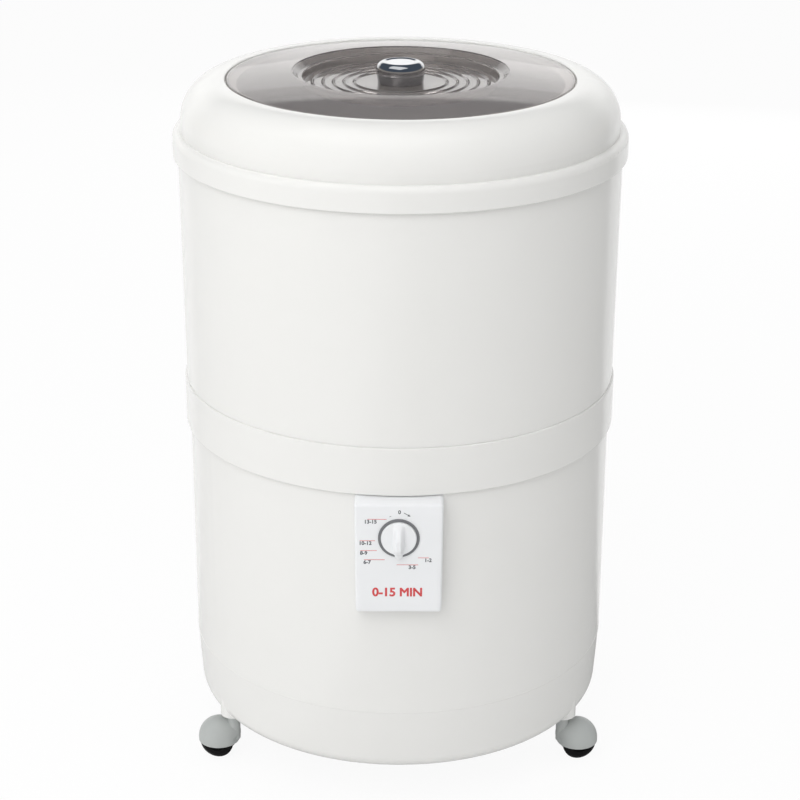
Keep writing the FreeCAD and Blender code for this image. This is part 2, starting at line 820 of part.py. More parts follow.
def wash_tub():
    """The inner tub, hung by its flange, with a pulsator recess, hub bore and drain stub."""
    bore = housing_radius - S.housing_wall / 4 + S.seat_gap
    tub_top_inside = tub_top_radius - S.tub_wall
    recess_outside = recess_radius + S.tub_wall
    bowl = turned("tub_bowl", [
        (tub_top_radius, upper_top),
        (upper_radius - S.upper_wall / 4, upper_top),
        (upper_radius - S.upper_wall / 4, flange_top),
        (tub_top_inside, flange_top, S.tub_wall / 2),
        (tub_low_inside, tub_floor, S.tub_corner),
        (recess_radius, tub_floor, S.tub_wall / 2),
        (recess_radius, recess_floor, S.tub_wall),
        (bore, recess_floor),
        (bore, housing_top),
        (recess_outside, housing_top, 2 * S.tub_wall),
        (recess_outside, tub_underside, S.tub_wall / 2),
        (tub_low_radius, tub_underside, S.tub_corner + S.tub_wall)])
    stub = cylinder("tub_stub", drain_radius, S.drain_stub + S.tub_wall / 2,
                    (0, drain_place, housing_top - S.drain_stub))
    outlet = cylinder("tub_outlet", S.drain_bore, S.drain_stub + 2 * S.tub_wall,
                      (0, drain_place, housing_top - S.drain_stub))
    holes = [cylinder(f"tub_screw_hole_{index}", bolt_hole, S.tub_wall, (x, y, housing_top))
             for index, (x, y) in enumerate(housing_screw_places())]
    part("wash_tub", less("wash_tub", fused("tub_with_stub", [bowl, stub]), [outlet] + holes))
    part("tub_gasket", tube("tub_gasket", upper_radius - S.upper_wall / 4,
                            upper_radius - S.upper_wall / 4 - S.gasket_width, S.gasket_thickness,
                            (0, 0, flange_top)))


def drain():
    """The strainer in the tub's outlet, the hose inside the base and the fitting through its wall."""
    strainer_wall = S.drain_wall / 2
    neck_radius = S.drain_bore - S.strainer_fit
    cap = cylinder("strainer_cap", S.drain_bore + S.drain_wall, strainer_wall,
                   (0, drain_place, recess_floor))
    neck = cylinder("strainer_neck", neck_radius, S.drain_stub / 2,
                    (0, drain_place, recess_floor - S.drain_stub / 2))
    hollow = cylinder("strainer_hollow", neck_radius - strainer_wall, S.drain_stub / 2,
                      (0, drain_place, recess_floor - S.drain_stub / 2))
    slots = []
    for angle in around(STRAINER_HOLE_COUNT):
        x, y = polar(S.drain_bore / 2, angle)
        slots.append(cylinder(f"strainer_hole_{int(angle)}", S.drain_bore / 6, strainer_wall,
                              (x, drain_place + y, recess_floor)))
    part("drain_strainer", less("drain_strainer", fused("strainer_body", [cap, neck]), [hollow] + slots))

    bend_top = S.drain_level + S.drain_bend
    hose_top = housing_top - S.hose_gap
    tail_start = drain_place + S.drain_bend
    tail_end = base_inside - S.base_wall - S.spigot_flange_thickness - S.hose_gap

    def run(name, radius):
        """The hose's route at a radius: down, round a quarter bend and out to the rear."""
        down = cylinder(name + "_down", radius, hose_top - bend_top, (0, drain_place, bend_top))
        bend = hoop(name + "_bend", S.drain_bend, radius, (0, tail_start, bend_top), BEND_TURN, 90.0)
        out = cylinder(name + "_out", radius, tail_end - tail_start, (0, tail_start, S.drain_level),
                       TURNS["Y"])
        return fused(name, [down, bend, out])

    inside = drain_radius + S.seat_gap
    part("drain_tube", less("drain_tube", run("hose_outside", hose_radius), [run("hose_inside", inside)]))

    flange_radius = drain_radius + S.spigot_flange
    flange_seat = S.base_radius + S.head_gap
    tail = tail_end - S.spigot_tail
    body = cylinder("spigot_body", drain_radius, spigot_end - tail, (0, tail, S.drain_level), TURNS["Y"])
    flange = cylinder("spigot_flange", flange_radius, S.spigot_flange_thickness,
                      (0, flange_seat, S.drain_level), TURNS["Y"])
    bore = cylinder("spigot_bore", S.drain_bore, spigot_end - tail, (0, tail, S.drain_level), TURNS["Y"])
    part("drain_spigot", less("drain_spigot", fused("spigot_solid", [body, flange]), [bore]))
    nut_face = root(base_inside * base_inside - flange_radius * flange_radius) - S.head_gap
    part("drain_nut", tube("drain_nut", flange_radius, drain_radius + S.seat_gap,
                           S.spigot_flange_thickness, (0, nut_face - S.spigot_flange_thickness,
                                                       S.drain_level), TURNS["Y"]))


def cord_gland():
    """The bush in the rear wall that the supply cord passes through."""
    neck = S.gland_bore + S.gland_wall
    start = base_inside - S.base_wall
    seat = S.base_radius + S.head_gap
    body = cylinder("gland_body", neck, S.base_radius + S.gland_reach - start, (0, start, S.gland_level),
                    TURNS["Y"])
    flange = cylinder("gland_flange", neck + S.gland_wall, S.gland_wall,
                      (0, seat, S.gland_level), TURNS["Y"])
    relief = cylinder("gland_relief", S.gland_bore + S.gland_relief, seat - start,
                      (0, start, S.gland_level), TURNS["Y"])
    bore = cylinder("gland_bore", S.gland_bore, S.gland_reach - S.head_gap, (0, seat, S.gland_level),
                    TURNS["Y"])
    part("cord_gland", less("cord_gland", fused("gland_solid", [body, flange]), [relief, bore]))


def bearings():
    """The housing under the tub with its two bearings, seal and screws."""
    flange_radius = housing_radius + S.housing_flange
    flange_bottom = housing_top - S.housing_flange_thickness
    seat = S.bearing_radius
    inner = (S.shaft_radius + S.bearing_radius) / 2
    boss_radius = housing_radius - S.housing_wall / 4
    tower = turned("housing_tower", [
        (seat, boss_top),
        (boss_radius, boss_top),
        (boss_radius, housing_top),
        (flange_radius, housing_top),
        (flange_radius, flange_bottom),
        (housing_radius, flange_bottom),
        (housing_radius, housing_bottom),
        (seat, housing_bottom),
        (seat, housing_bottom + S.bearing_width),
        (inner, housing_bottom + S.bearing_width),
        (inner, upper_bearing_bottom),
        (seat, upper_bearing_bottom)])
    holes = [cylinder(f"housing_hole_{index}", bolt_hole, S.housing_flange_thickness, (x, y, flange_bottom))
             for index, (x, y) in enumerate(housing_screw_places())]
    part("bearing_housing", less("bearing_housing", tower, holes))
    ring_bore = S.shaft_radius + S.running_gap
    ring_radius = seat - S.seat_gap
    part("upper_bearing", tube("upper_bearing", ring_radius, ring_bore, S.bearing_width,
                               (0, 0, upper_bearing_bottom)))
    part("lower_bearing", tube("lower_bearing", ring_radius, ring_bore, S.bearing_width,
                               (0, 0, housing_bottom)))
    part("shaft_seal", tube("shaft_seal", ring_radius, ring_bore, S.seal_height, (0, 0, seal_bottom)))
    screws = [headed(f"housing_screw_{index}", S.bolt_head_radius, S.bolt_head_height, S.bolt_radius,
                     S.tub_wall + S.housing_flange_thickness, (x, y, recess_floor), TURNS["-Z"])
              for index, (x, y) in enumerate(housing_screw_places())]
    part("housing_screws", gathered("housing_screws", screws))


def pulsator():
    """The finned disc on the tub floor with its shaft and screw."""
    bore = S.shaft_radius + S.seat_gap
    shaft_top = hub_top - S.bolt_head_height - S.pulsator_plate
    screw_seat = hub_top - S.bolt_head_height - S.seat_gap
    plate_round = S.pulsator_plate / 3
    head_room = S.bolt_head_radius + S.pulsator_lift
    disc = turned("pulsator_disc", [
        (bore, pulsator_bottom),
        (pulsator_radius, pulsator_bottom, plate_round),
        (pulsator_radius, pulsator_top, plate_round),
        (S.pulsator_hub_radius, pulsator_top + S.pulsator_plate, S.pulsator_plate),
        (S.pulsator_hub_radius, hub_top, plate_round),
        (head_room, hub_top),
        (head_room, screw_seat),
        (bolt_hole, screw_seat),
        (bolt_hole, shaft_top),
        (bore, shaft_top)])
    ridge_start = S.pulsator_hub_radius - S.pulsator_lift
    ridge_end = pulsator_radius - 2 * S.ridge_tip_radius
    ridges = []
    for angle in around(RIDGE_COUNT, 180.0 / RIDGE_COUNT):
        spine = doc.addObject("Part::Cone", f"ridge_{int(angle)}")
        bind(spine, {"Radius1": S.ridge_radius, "Radius2": S.ridge_tip_radius,
                     "Height": ridge_end - ridge_start})
        place(spine, (*polar(ridge_start, angle), pulsator_top), outward(angle))
        ridges.append(spine)
        ridges.append(ball(f"ridge_tip_{int(angle)}", S.ridge_tip_radius,
                           (*polar(ridge_end, angle), pulsator_top)))
    band = tube("ridge_band", pulsator_radius, ridge_start, S.pulsator_hub_rise,
                (0, 0, pulsator_bottom + S.pulsator_plate / 2))
    fins = shared("pulsator_fins", fused("ridges", ridges), band)
    part("pulsator", fused("pulsator", [disc, fins]))

    shaft_bottom = belt_level - S.pulley_drop - S.nut_height
    thread = S.pulsator_hub_rise
    rod = cylinder("shaft_rod", S.shaft_radius, shaft_top - shaft_bottom, (0, 0, shaft_bottom))
    hole = cylinder("shaft_thread", bolt_hole, thread, (0, 0, shaft_top - thread))
    part("drive_shaft", less("drive_shaft", rod, [hole]))
    part("pulsator_screw", headed("pulsator_screw", S.bolt_head_radius + S.pulsator_lift / 2,
                                  S.bolt_head_height, S.bolt_radius,
                                  screw_seat - shaft_top + thread, (0, 0, screw_seat), TURNS["-Z"]))


def groove(belt_radius, rim):
    """Corners of a pulley's rim from its lower to its upper outer edge, with the belt's groove."""
    half = S.belt_width / 2 + S.belt_gap
    bottom = belt_radius - S.belt_gap
    edge = belt_radius + S.belt_thickness + S.belt_gap
    flare = S.belt_thickness / 6
    return [
        (edge, belt_level - rim),
        (edge, belt_level - half - flare),
        (bottom, belt_level - half),
        (bottom, belt_level + half),
        (edge, belt_level + half + flare),
        (edge, belt_level + rim)]


def belt_drive():
    """The two pulleys, the nut under the large one and the belt round both."""
    rim = S.belt_width / 2 + S.pulley_rim
    hub = S.pulley_hub_radius
    hub_bottom = belt_level - S.pulley_drop
    hub_upper = housing_bottom - S.pulley_hub_gap
    web_low = belt_level - S.pulley_web / 2
    web_high = belt_level + S.pulley_web / 2
    rim_inside = S.driven_belt_radius - S.pulley_web
    bore = S.shaft_radius + S.seat_gap
    wheel = turned("driven_wheel", [
        (bore, hub_bottom),
        (hub, hub_bottom),
        (hub, web_low),
        (rim_inside, web_low),
        (rim_inside, belt_level - rim),
        *groove(S.driven_belt_radius, rim),
        (rim_inside, belt_level + rim),
        (rim_inside, web_high),
        (hub, web_high),
        (hub, hub_upper),
        (bore, hub_upper)])
    web_middle = (hub + rim_inside) / 2
    web_hole = (rim_inside - hub) / 4
    holes = [cylinder(f"pulley_hole_{int(angle)}", web_hole, S.pulley_web,
                      (*polar(web_middle, angle), web_low)) for angle in around(PULLEY_HOLE_COUNT)]
    part("driven_pulley", less("driven_pulley", wheel, holes))

    corner = S.nut_across_flats / math.sqrt(3.0)
    hexagon = extruded("nut_hexagon", "XY_Plane", [polar(corner, angle) for angle in around(6, 30.0)],
                       S.nut_height)
    place(hexagon, (0, 0, hub_bottom - S.nut_height))
    nut_bore = cylinder("nut_bore", bore, S.nut_height, (0, 0, hub_bottom - S.nut_height))
    part("pulley_nut", less("pulley_nut", hexagon, [nut_bore]))

    small_bore = S.motor_shaft_radius + S.seat_gap
    small = turned("motor_pulley", [
        (small_bore, belt_level - rim), *groove(S.motor_belt_radius, rim), (small_bore, belt_level + rim)])
    part("motor_pulley", place(small, (motor_x, 0, 0)))

    outer = belt_loop("belt_outside", S.belt_thickness)
    inner = belt_loop("belt_inside", 0)
    part("drive_belt", less("drive_belt", outer, [inner]))


def belt_loop(name, stand):
    """A solid in the shape of the belt's loop, standing out from the pulleys' belt radii."""
    large = S.driven_belt_radius + stand
    small = S.motor_belt_radius + stand
    cosine = (large - small) / S.motor_offset
    sine = root(1 - cosine * cosine)
    touch_large = (-cosine * large, sine * large)
    touch_small = (motor_x - cosine * small, sine * small)
    level = belt_level - S.belt_width / 2
    web = extruded(name + "_web", "XY_Plane", [
        touch_large, touch_small, (touch_small[0], -touch_small[1]), (touch_large[0], -touch_large[1])],
        S.belt_width)
    place(web, (0, 0, level))
    return fused(name, [web, cylinder(name + "_large", large, S.belt_width, (0, 0, level)),
                        cylinder(name + "_small", small, S.belt_width, (motor_x, 0, level))])


def motor():
    """The motor on its rubber mounts, with rotor, fan and capacitor."""
    shaft = S.motor_shaft_radius
    rim = S.belt_width / 2 + S.pulley_rim
    fan_bottom = belt_level - rim - S.fan_gap - S.fan_height
    top_plate = fan_bottom - S.fan_gap - S.bell_boss_height
    stator_bottom = top_plate - S.stator_height
    foot = stator_bottom - S.bell_plate
    shell = S.stator_radius + S.seat_gap
    shell_outside = shell + S.bell_wall
    bore = shaft + S.running_gap
    part("motor_housing", place(tube("motor_housing", S.stator_radius, S.rotor_radius + S.rotor_gap,
                                     S.stator_height, (0, 0, stator_bottom)), (motor_x, 0, 0)))
    top = turned("motor_top_bell", [
        (bore, top_plate),
        (shell, top_plate),
        (shell, top_plate - S.bell_overlap),
        (shell_outside, top_plate - S.bell_overlap),
        (shell_outside, top_plate + S.bell_plate, S.bell_wall),
        (S.bell_boss_radius, top_plate + S.bell_plate),
        (S.bell_boss_radius, top_plate + S.bell_boss_height),
        (bore, top_plate + S.bell_boss_height)])
    part("motor_top_bell", place(top, (motor_x, 0, 0)))
    cup = turned("motor_cup", [
        (bore, stator_bottom),
        (shell, stator_bottom),
        (shell, stator_bottom + S.bell_overlap),
        (shell_outside, stator_bottom + S.bell_overlap),
        (shell_outside, foot),
        (S.bell_boss_radius, foot),
        (S.bell_boss_radius, stator_bottom - S.bell_boss_height),
        (bore, stator_bottom - S.bell_boss_height)])
    place(cup, (motor_x, 0, 0))
    ears = [cylinder(f"motor_ear_{index}", S.motor_ear_radius, S.bell_plate, (x, y, foot))
            for index, (x, y) in enumerate(motor_bolt_places())]
    ear_holes = [cylinder(f"motor_ear_hole_{index}", bolt_hole, S.bell_plate, (x, y, foot))
                 for index, (x, y) in enumerate(motor_bolt_places())]
    part("motor_bottom_bell", less("motor_bottom_bell", fused("motor_cup_ears", [cup] + ears), ear_holes))
    mounts = [tube(f"motor_mount_{index}", S.mount_radius, bolt_hole, foot - pan_top, (x, y, pan_top))
              for index, (x, y) in enumerate(motor_bolt_places())]
    part("motor_mounts", gathered("motor_mounts", mounts))
    bolts = [headed(f"motor_bolt_{index}", S.bolt_head_radius, S.bolt_head_height, S.bolt_radius,
                    stator_bottom - pan_bottom, (x, y, stator_bottom), TURNS["-Z"])
             for index, (x, y) in enumerate(motor_bolt_places())]
    part("motor_bolts", gathered("motor_bolts", bolts))

    shaft_bottom = stator_bottom - S.bell_boss_height
    part("motor_shaft", cylinder("motor_shaft", shaft, belt_level + rim + S.fan_gap - shaft_bottom,
                                 (motor_x, 0, shaft_bottom)))
    end = S.bell_plate
    part("rotor_core", place(tube("rotor_core", S.rotor_radius, shaft + S.seat_gap,
                                  S.stator_height - 2 * end, (0, 0, stator_bottom + end)),
                             (motor_x, 0, 0)))
    hub_radius = 2 * shaft
    plate = cylinder("fan_plate", S.fan_radius, S.fan_plate, (0, 0, fan_bottom))
    hub = cylinder("fan_hub", hub_radius, S.fan_height, (0, 0, fan_bottom))
    blades = []
    for angle in around(FAN_BLADE_COUNT):
        blade = block(f"fan_blade_{int(angle)}",
                      (S.fan_radius - hub_radius, S.fan_plate, S.blade_height), (0, 0, 0))
        place(blade, (*polar(hub_radius - S.fan_plate, angle), fan_bottom),
              Rotation(Vector(0, 0, 1), angle))
        blades.append(blade)
    fan_bore = cylinder("fan_bore", shaft + S.seat_gap, S.fan_height, (0, 0, fan_bottom))
    part("cooling_fan", place(less("cooling_fan", fused("fan_solid", [plate, hub] + blades), [fan_bore]),
                              (motor_x, 0, 0)))

    x, y = polar(capacitor_place, CAPACITOR_ANGLE)
    part("capacitor", cylinder("capacitor", S.capacitor_radius, S.capacitor_height, (x, y, pan_top)))
    inside = S.capacitor_radius + S.seat_gap
    level = pan_top + S.clip_level
    ring = cylinder("clip_ring", inside + S.clip_wall, S.clip_width, (x, y, level))
    foot_block = block("clip_foot", (S.clip_wall, S.clip_width, level + S.clip_width - pan_top),
                       (x + inside, y - S.clip_width / 2, pan_top))
    toe = block("clip_toe", (S.clip_width, S.clip_width, S.clip_wall),
                (x + inside, y - S.clip_width / 2, pan_top))
    hole = cylinder("clip_bore", inside, S.capacitor_height, (x, y, pan_top))
    part("capacitor_clip", less("capacitor_clip", fused("clip_solid", [ring, foot_block, toe]), [hole]))


def control_panel():
    """The panel that stands proud of the base, with the dial's ring, timer and screws."""
    top = band_bottom - S.panel_gap
    bottom = top - S.panel_height
    back = base_inside - S.panel_stand
    slab = extruded("panel_slab", "YZ_Plane", [
        (-back, bottom),
        (-back, top),
        (-S.base_radius, top),
        (-panel_front, top - S.panel_slope, S.panel_round),
        (-panel_front, bottom, S.panel_round)], S.panel_width, both_ways=True)
    half = S.panel_width / 2
    sides = extruded("panel_sides", "XZ_Plane", [
        (S.panel_taper - half, bottom), (half - S.panel_taper, bottom), (half, top), (-half, top)],
        2 * (panel_front + S.cut_margin), both_ways=True)
    tapered = shared("panel_tapered", slab, sides)
    doc.recompute()
    softened = doc.addObject("Part::Fillet", "panel_softened")
    softened.Base = tapered
    front_edges = [index for index, edge in enumerate(tapered.Shape.Edges, start=1)
                   if edge.BoundBox.YMax < -S.base_radius.value - S.panel_round.value]
    softened.Edges = [(index, S.panel_edge_round.value, S.panel_edge_round.value) for index in front_edges]
    inner_width = S.panel_width - 2 * S.panel_rail
    cavity = block("panel_cavity", (inner_width, S.panel_stand + timer_front - back,
                                    S.panel_height - 2 * S.panel_slope - S.panel_wall),
                   (-inner_width / 2, -timer_front, bottom + S.panel_slope))
    drum = cylinder("panel_drum", S.base_radius + S.head_gap, base_top)
    shaft_hole = cylinder("panel_shaft_hole", S.timer_shaft_radius + S.panel_wall, S.panel_wall,
                          (0, -timer_front, dial_level), TURNS["-Y"])
    part("control_panel", less("control_panel", softened, [cavity, drum, shaft_hole] + panel_holes))
    screws = [headed(f"panel_screw_{index}", S.screw_head_radius, S.screw_head_height, S.screw_radius,
                     panel_screw_reach, (x, S.head_gap - panel_screw_seat, level), TURNS["-Y"])
              for index, (x, level) in enumerate(panel_screw_places())]
    part("panel_screws", gathered("panel_screws", screws))
    part("dial_ring", tube("dial_ring", S.dial_ring_radius, S.dial_ring_radius - S.dial_ring_width,
                           S.dial_ring_stand, (0, -panel_front, dial_level), TURNS["-Y"]))

    case = block("timer_case", (S.timer_width, S.timer_depth, S.timer_height),
                 (-S.timer_width / 2, -timer_front, dial_level - S.timer_height / 2))
    bore = cylinder("timer_bore", S.timer_shaft_radius + S.running_gap, S.timer_depth,
                    (0, -timer_front, dial_level), TURNS["Y"])
    part("timer_body", less("timer_body", case, [bore]))
    timer_knob()


def timer_knob():
    """The white knob with its grip bar and pointer, on the timer's shaft."""
    skirt_radius = S.dial_ring_radius - S.dial_ring_width - S.knob_gap
    back = panel_front + S.knob_gap
    front = panel_front + S.knob_bar_stand
    half = S.knob_bar_width / 2
    skirt = turned("knob_skirt", [
        (0, 0), (skirt_radius, 0), (skirt_radius, S.knob_skirt, S.knob_skirt / 4), (0, S.knob_skirt)])
    place(skirt, (0, -back, dial_level), TURNS["-Y"])
    bar_back = panel_front + S.dial_ring_stand + S.knob_skirt / 2
    bar = extruded("knob_bar", "XZ_Plane", [
        (-half, skirt_radius - half / 4, half / 2),
        (-half, S.pointer_length - S.pointer_reach, half / 4),
        (0, -S.pointer_reach, half / 6),
        (half, S.pointer_length - S.pointer_reach, half / 4),
        (half, skirt_radius - half / 4, half / 2)], front - bar_back)
    place(bar, (0, -bar_back, dial_level))
    doc.recompute()
    softened = doc.addObject("Part::Fillet", "knob_bar_softened")
    softened.Base = bar
    front_edges = [index for index, edge in enumerate(bar.Shape.Edges, start=1)
                   if edge.BoundBox.YMax < -front.value + EDGE_TOLERANCE]
    softened.Edges = [(index, half.value / 4, half.value / 4) for index in front_edges]
    shaft_end = front - S.knob_skirt
    socket = cylinder("knob_socket", S.timer_shaft_radius + S.seat_gap, shaft_end - back,
                      (0, -back, dial_level), TURNS["-Y"])
    part("timer_knob", less("timer_knob", fused("knob_solid", [skirt, softened]), [socket]))
    start = timer_front - S.timer_shaft_depth
    part("timer_shaft", cylinder("timer_shaft", S.timer_shaft_radius, shaft_end - start,
                                 (0, -start, dial_level), TURNS["-Y"]))


def caster(side):
    """One hooded caster, built about its stem with the wheel trailing along +X."""
    at = (*polar(stem_circle, CASTER_STEM_ANGLES[side]), 0)
    turn = Rotation(Vector(0, 0, 1), CASTER_TRAIL_ANGLES[side])
    middle = S.wheel_radius + S.hood_lift
    dome_at = (S.caster_trail, 0, middle)
    dome = ball(f"dome_{side}", S.hood_radius, dome_at)
    hollow = ball(f"dome_hollow_{side}", S.hood_radius - S.hood_wall, dome_at)
    span = 2 * S.hood_radius
    below = block(f"dome_below_{side}", (2 * span, 2 * span, span), (-span, -span, S.hood_rim - span))
    shell = less(f"dome_shell_{side}", dome, [hollow, below])
    web_room = block(f"web_room_{side}", (2 * span, S.web_width, span),
                     (S.caster_trail - span, -S.web_width / 2, S.hood_rim))
    web = shared(f"web_{side}", ball(f"web_ball_{side}", S.hood_radius, dome_at), web_room)
    neck = cylinder(f"swivel_neck_{side}", S.swivel_neck_radius, base_bottom - middle, (0, 0, middle))
    stem_bottom = S.hood_rim + S.web_width / 2
    stem_hole = cylinder(f"stem_hole_{side}", S.stem_radius + S.seat_gap, base_bottom - stem_bottom,
                         (0, 0, stem_bottom))
    web_side = (S.caster_trail, -S.web_width / 2, S.wheel_radius)
    axle_boss = cylinder(f"axle_boss_{side}", S.axle_boss_radius, S.web_width, web_side, TURNS["Y"])
    axle_hole = cylinder(f"axle_hole_{side}", S.axle_radius + S.seat_gap, S.web_width, web_side, TURNS["Y"])
    inner = S.web_width / 2 + S.web_gap
    outer = inner + S.wheel_width
    solid = fused(f"hood_solid_{side}", [shell, web, neck, axle_boss])
    wheel_room = cylinder(f"wheel_room_{side}", S.wheel_radius + S.web_gap, span,
                          (S.caster_trail, S.web_width / 2, S.wheel_radius), TURNS["Y"])
    wheel_room_far = cylinder(f"wheel_room_far_{side}", S.wheel_radius + S.web_gap, span,
                              (S.caster_trail, -S.web_width / 2, S.wheel_radius), TURNS["-Y"])
    kept = shared(f"wheel_space_{side}", fused(f"wheel_rooms_{side}", [wheel_room, wheel_room_far]),
                  ball(f"wheel_ball_{side}", S.hood_radius - S.hood_wall, dome_at))
    hood = less(f"caster_hood_{side}", solid, [stem_hole, axle_hole, kept])
    part(f"caster_hood_{side}", place(hood, at, turn))
    socket_top = base_bottom + S.socket_length
    part(f"caster_stem_{side}", place(cylinder(f"caster_stem_{side}", S.stem_radius,
                                               socket_top - stem_bottom), (at[0], at[1], stem_bottom), turn))
    axle_length = 2 * outer + S.hood_wall / 2
    pin = cylinder(f"axle_pin_{side}", S.axle_radius, axle_length, (S.caster_trail, -axle_length / 2,
                                                                    S.wheel_radius), TURNS["Y"])
    part(f"caster_axle_{side}", place(gathered(f"caster_axle_{side}", [pin]), at, turn))
    bore = S.axle_radius + S.running_gap
    wheels = []
    for hand in (1, -1):
        wheel = turned(f"wheel_{side}_{'near' if hand > 0 else 'far'}", [
            (bore, hand * inner),
            (S.wheel_radius, hand * inner),
            (S.wheel_radius, hand * (inner + S.wheel_width / 4), S.wheel_width / 2),
            (S.wheel_rim_radius, hand * outer, S.wheel_width / 4),
            (bore, hand * outer)])
        wheels.append(place(wheel, (S.caster_trail, 0, S.wheel_radius), TURNS["Y"]))
    part(f"caster_wheel_{side}", place(gathered(f"caster_wheel_{side}", wheels), at, turn))


def caster_sockets():
    """The grip sockets in the base's pods that hold the caster stems."""
    sockets = []
    for side, angle in CASTER_STEM_ANGLES.items():
        at = (*polar(stem_circle, angle), base_bottom)
        sockets.append(tube(f"caster_socket_{side}", S.socket_radius, S.stem_radius + S.running_gap,
                            S.socket_length, at))
    part("caster_sockets", gathered("caster_sockets", sockets))


def write_parts():
    """Check every object, then write each piece to its own file."""
    doc.recompute()
    for item in doc.Objects:
        if "Invalid" in item.State or "Error" in item.State:
            raise RuntimeError(f"{item.Label} failed to build: {item.State}")
    for item in parts:
        if item.Shape.isNull() or not item.Shape.isValid() or not item.Shape.Solids:
            raise RuntimeError(f"{item.Label} has no valid solid")
    os.makedirs("parts", exist_ok=True)
    for item in parts:
        item.Shape.exportStep(f"parts/{item.Label}.step")
    print(f"{len(parts)} pieces written")


base_shell()
base_pan()
joining_band()
upper_shell()
top_collar()
lid()
wash_tub()
drain()
cord_gland()
bearings()
pulsator()
belt_drive()
motor()
control_panel()
for caster_side in CASTER_STEM_ANGLES:
    caster(caster_side)
caster_sockets()
write_parts()
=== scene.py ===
import json
import logging
import math
from collections.abc import Sequence
from dataclasses import dataclass, field
from enum import Enum

import bmesh
import bpy
import numpy as np
from mathutils import Matrix, Vector


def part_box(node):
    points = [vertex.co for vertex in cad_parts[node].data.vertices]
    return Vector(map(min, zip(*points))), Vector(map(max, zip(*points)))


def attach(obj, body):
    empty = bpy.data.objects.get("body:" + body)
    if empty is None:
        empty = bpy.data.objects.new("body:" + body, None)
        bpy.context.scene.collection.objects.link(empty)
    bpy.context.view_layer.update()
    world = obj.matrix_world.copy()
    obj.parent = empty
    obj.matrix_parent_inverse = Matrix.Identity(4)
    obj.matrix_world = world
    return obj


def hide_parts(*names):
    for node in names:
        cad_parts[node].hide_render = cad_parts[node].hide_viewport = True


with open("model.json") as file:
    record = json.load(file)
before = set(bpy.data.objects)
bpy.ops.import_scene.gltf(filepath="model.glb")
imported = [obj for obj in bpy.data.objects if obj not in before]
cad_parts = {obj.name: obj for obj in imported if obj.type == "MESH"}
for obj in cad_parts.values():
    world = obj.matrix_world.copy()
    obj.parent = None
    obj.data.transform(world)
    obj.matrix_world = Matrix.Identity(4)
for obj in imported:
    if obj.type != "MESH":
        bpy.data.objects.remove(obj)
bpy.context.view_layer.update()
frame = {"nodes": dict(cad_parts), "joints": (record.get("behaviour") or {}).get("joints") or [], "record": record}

MM = 0.001
TURN = 2.0 * math.pi
NOISE_SPAN = (0.3, 0.7)
WHITE = (1.0, 1.0, 1.0)
LOG = logging.getLogger("washer")

Colour = tuple[float, float, float]
Corner = tuple[float, ...]
Range = tuple[float, float]


class Look(Enum):
    """The looks of the machine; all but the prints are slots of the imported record."""

    CASING = "casing_white"
    PANEL = "panel_white"
    DIAL = "dial_grey"
    LID = "lid_smoke"
    LID_KNOB = "knob_chrome"
    TUB = "tub_white"
    PULSATOR = "pulsator_grey"
    CASTER = "caster_grey"
    WHEEL = "wheel_black"
    STEEL = "bright_steel"
    ALLOY = "cast_alloy"
    RUBBER = "black_rubber"
    DRAIN = "drain_grey"
    MOTOR = "motor_steel"
    FAN = "fan_black"
    CAPACITOR = "capacitor_white"
    TIMER = "timer_ivory"
    PAN = "pan_zinc"
    RED_PRINT = "red_print"
    DARK_PRINT = "dark_print"


class Side(Enum):
    """The casters, by where they stand."""

    LEFT = "left"
    RIGHT = "right"
    REAR = "rear"


def mixed(tree: bpy.types.NodeTree, share: bpy.types.NodeSocket, first: Colour | bpy.types.NodeSocket,
          second: Colour | bpy.types.NodeSocket) -> bpy.types.NodeSocket:
    """Mix two colours.

    Args:
        tree: the nodes to add to.
        share: the mix, 0 for the first colour.
        first: the first colour, linear.
        second: the second colour, linear.

    Returns:
        The mixed colour.
    """
    node = tree.nodes.new("ShaderNodeMix")
    node.data_type = "RGBA"
    tree.links.new(share, node.inputs[0])
    for socket, colour in ((node.inputs[6], first), (node.inputs[7], second)):
        if isinstance(colour, tuple):
            socket.default_value = (*colour, 1.0)
        else:
            tree.links.new(colour, socket)
    return node.outputs[2]


def ramp(tree: bpy.types.NodeTree, value: bpy.types.NodeSocket, start: float, end: float, low: float = 0.0,
         high: float = 1.0) -> bpy.types.NodeSocket:
    """Stretch a value over a range.

    Args:
        tree: the nodes to add to.
        value: the value.
        start: the value that becomes the low end.
        end: the value that becomes the high end.
        low: the range's low end.
        high: the range's high end.

    Returns:
        The stretched value, held inside the range.
    """
    node = tree.nodes.new("ShaderNodeMapRange")
    for socket, number in zip(("From Min", "From Max", "To Min", "To Max"), (start, end, low, high)):
        node.inputs[socket].default_value = number
    tree.links.new(value, node.inputs["Value"])
    return node.outputs["Result"]


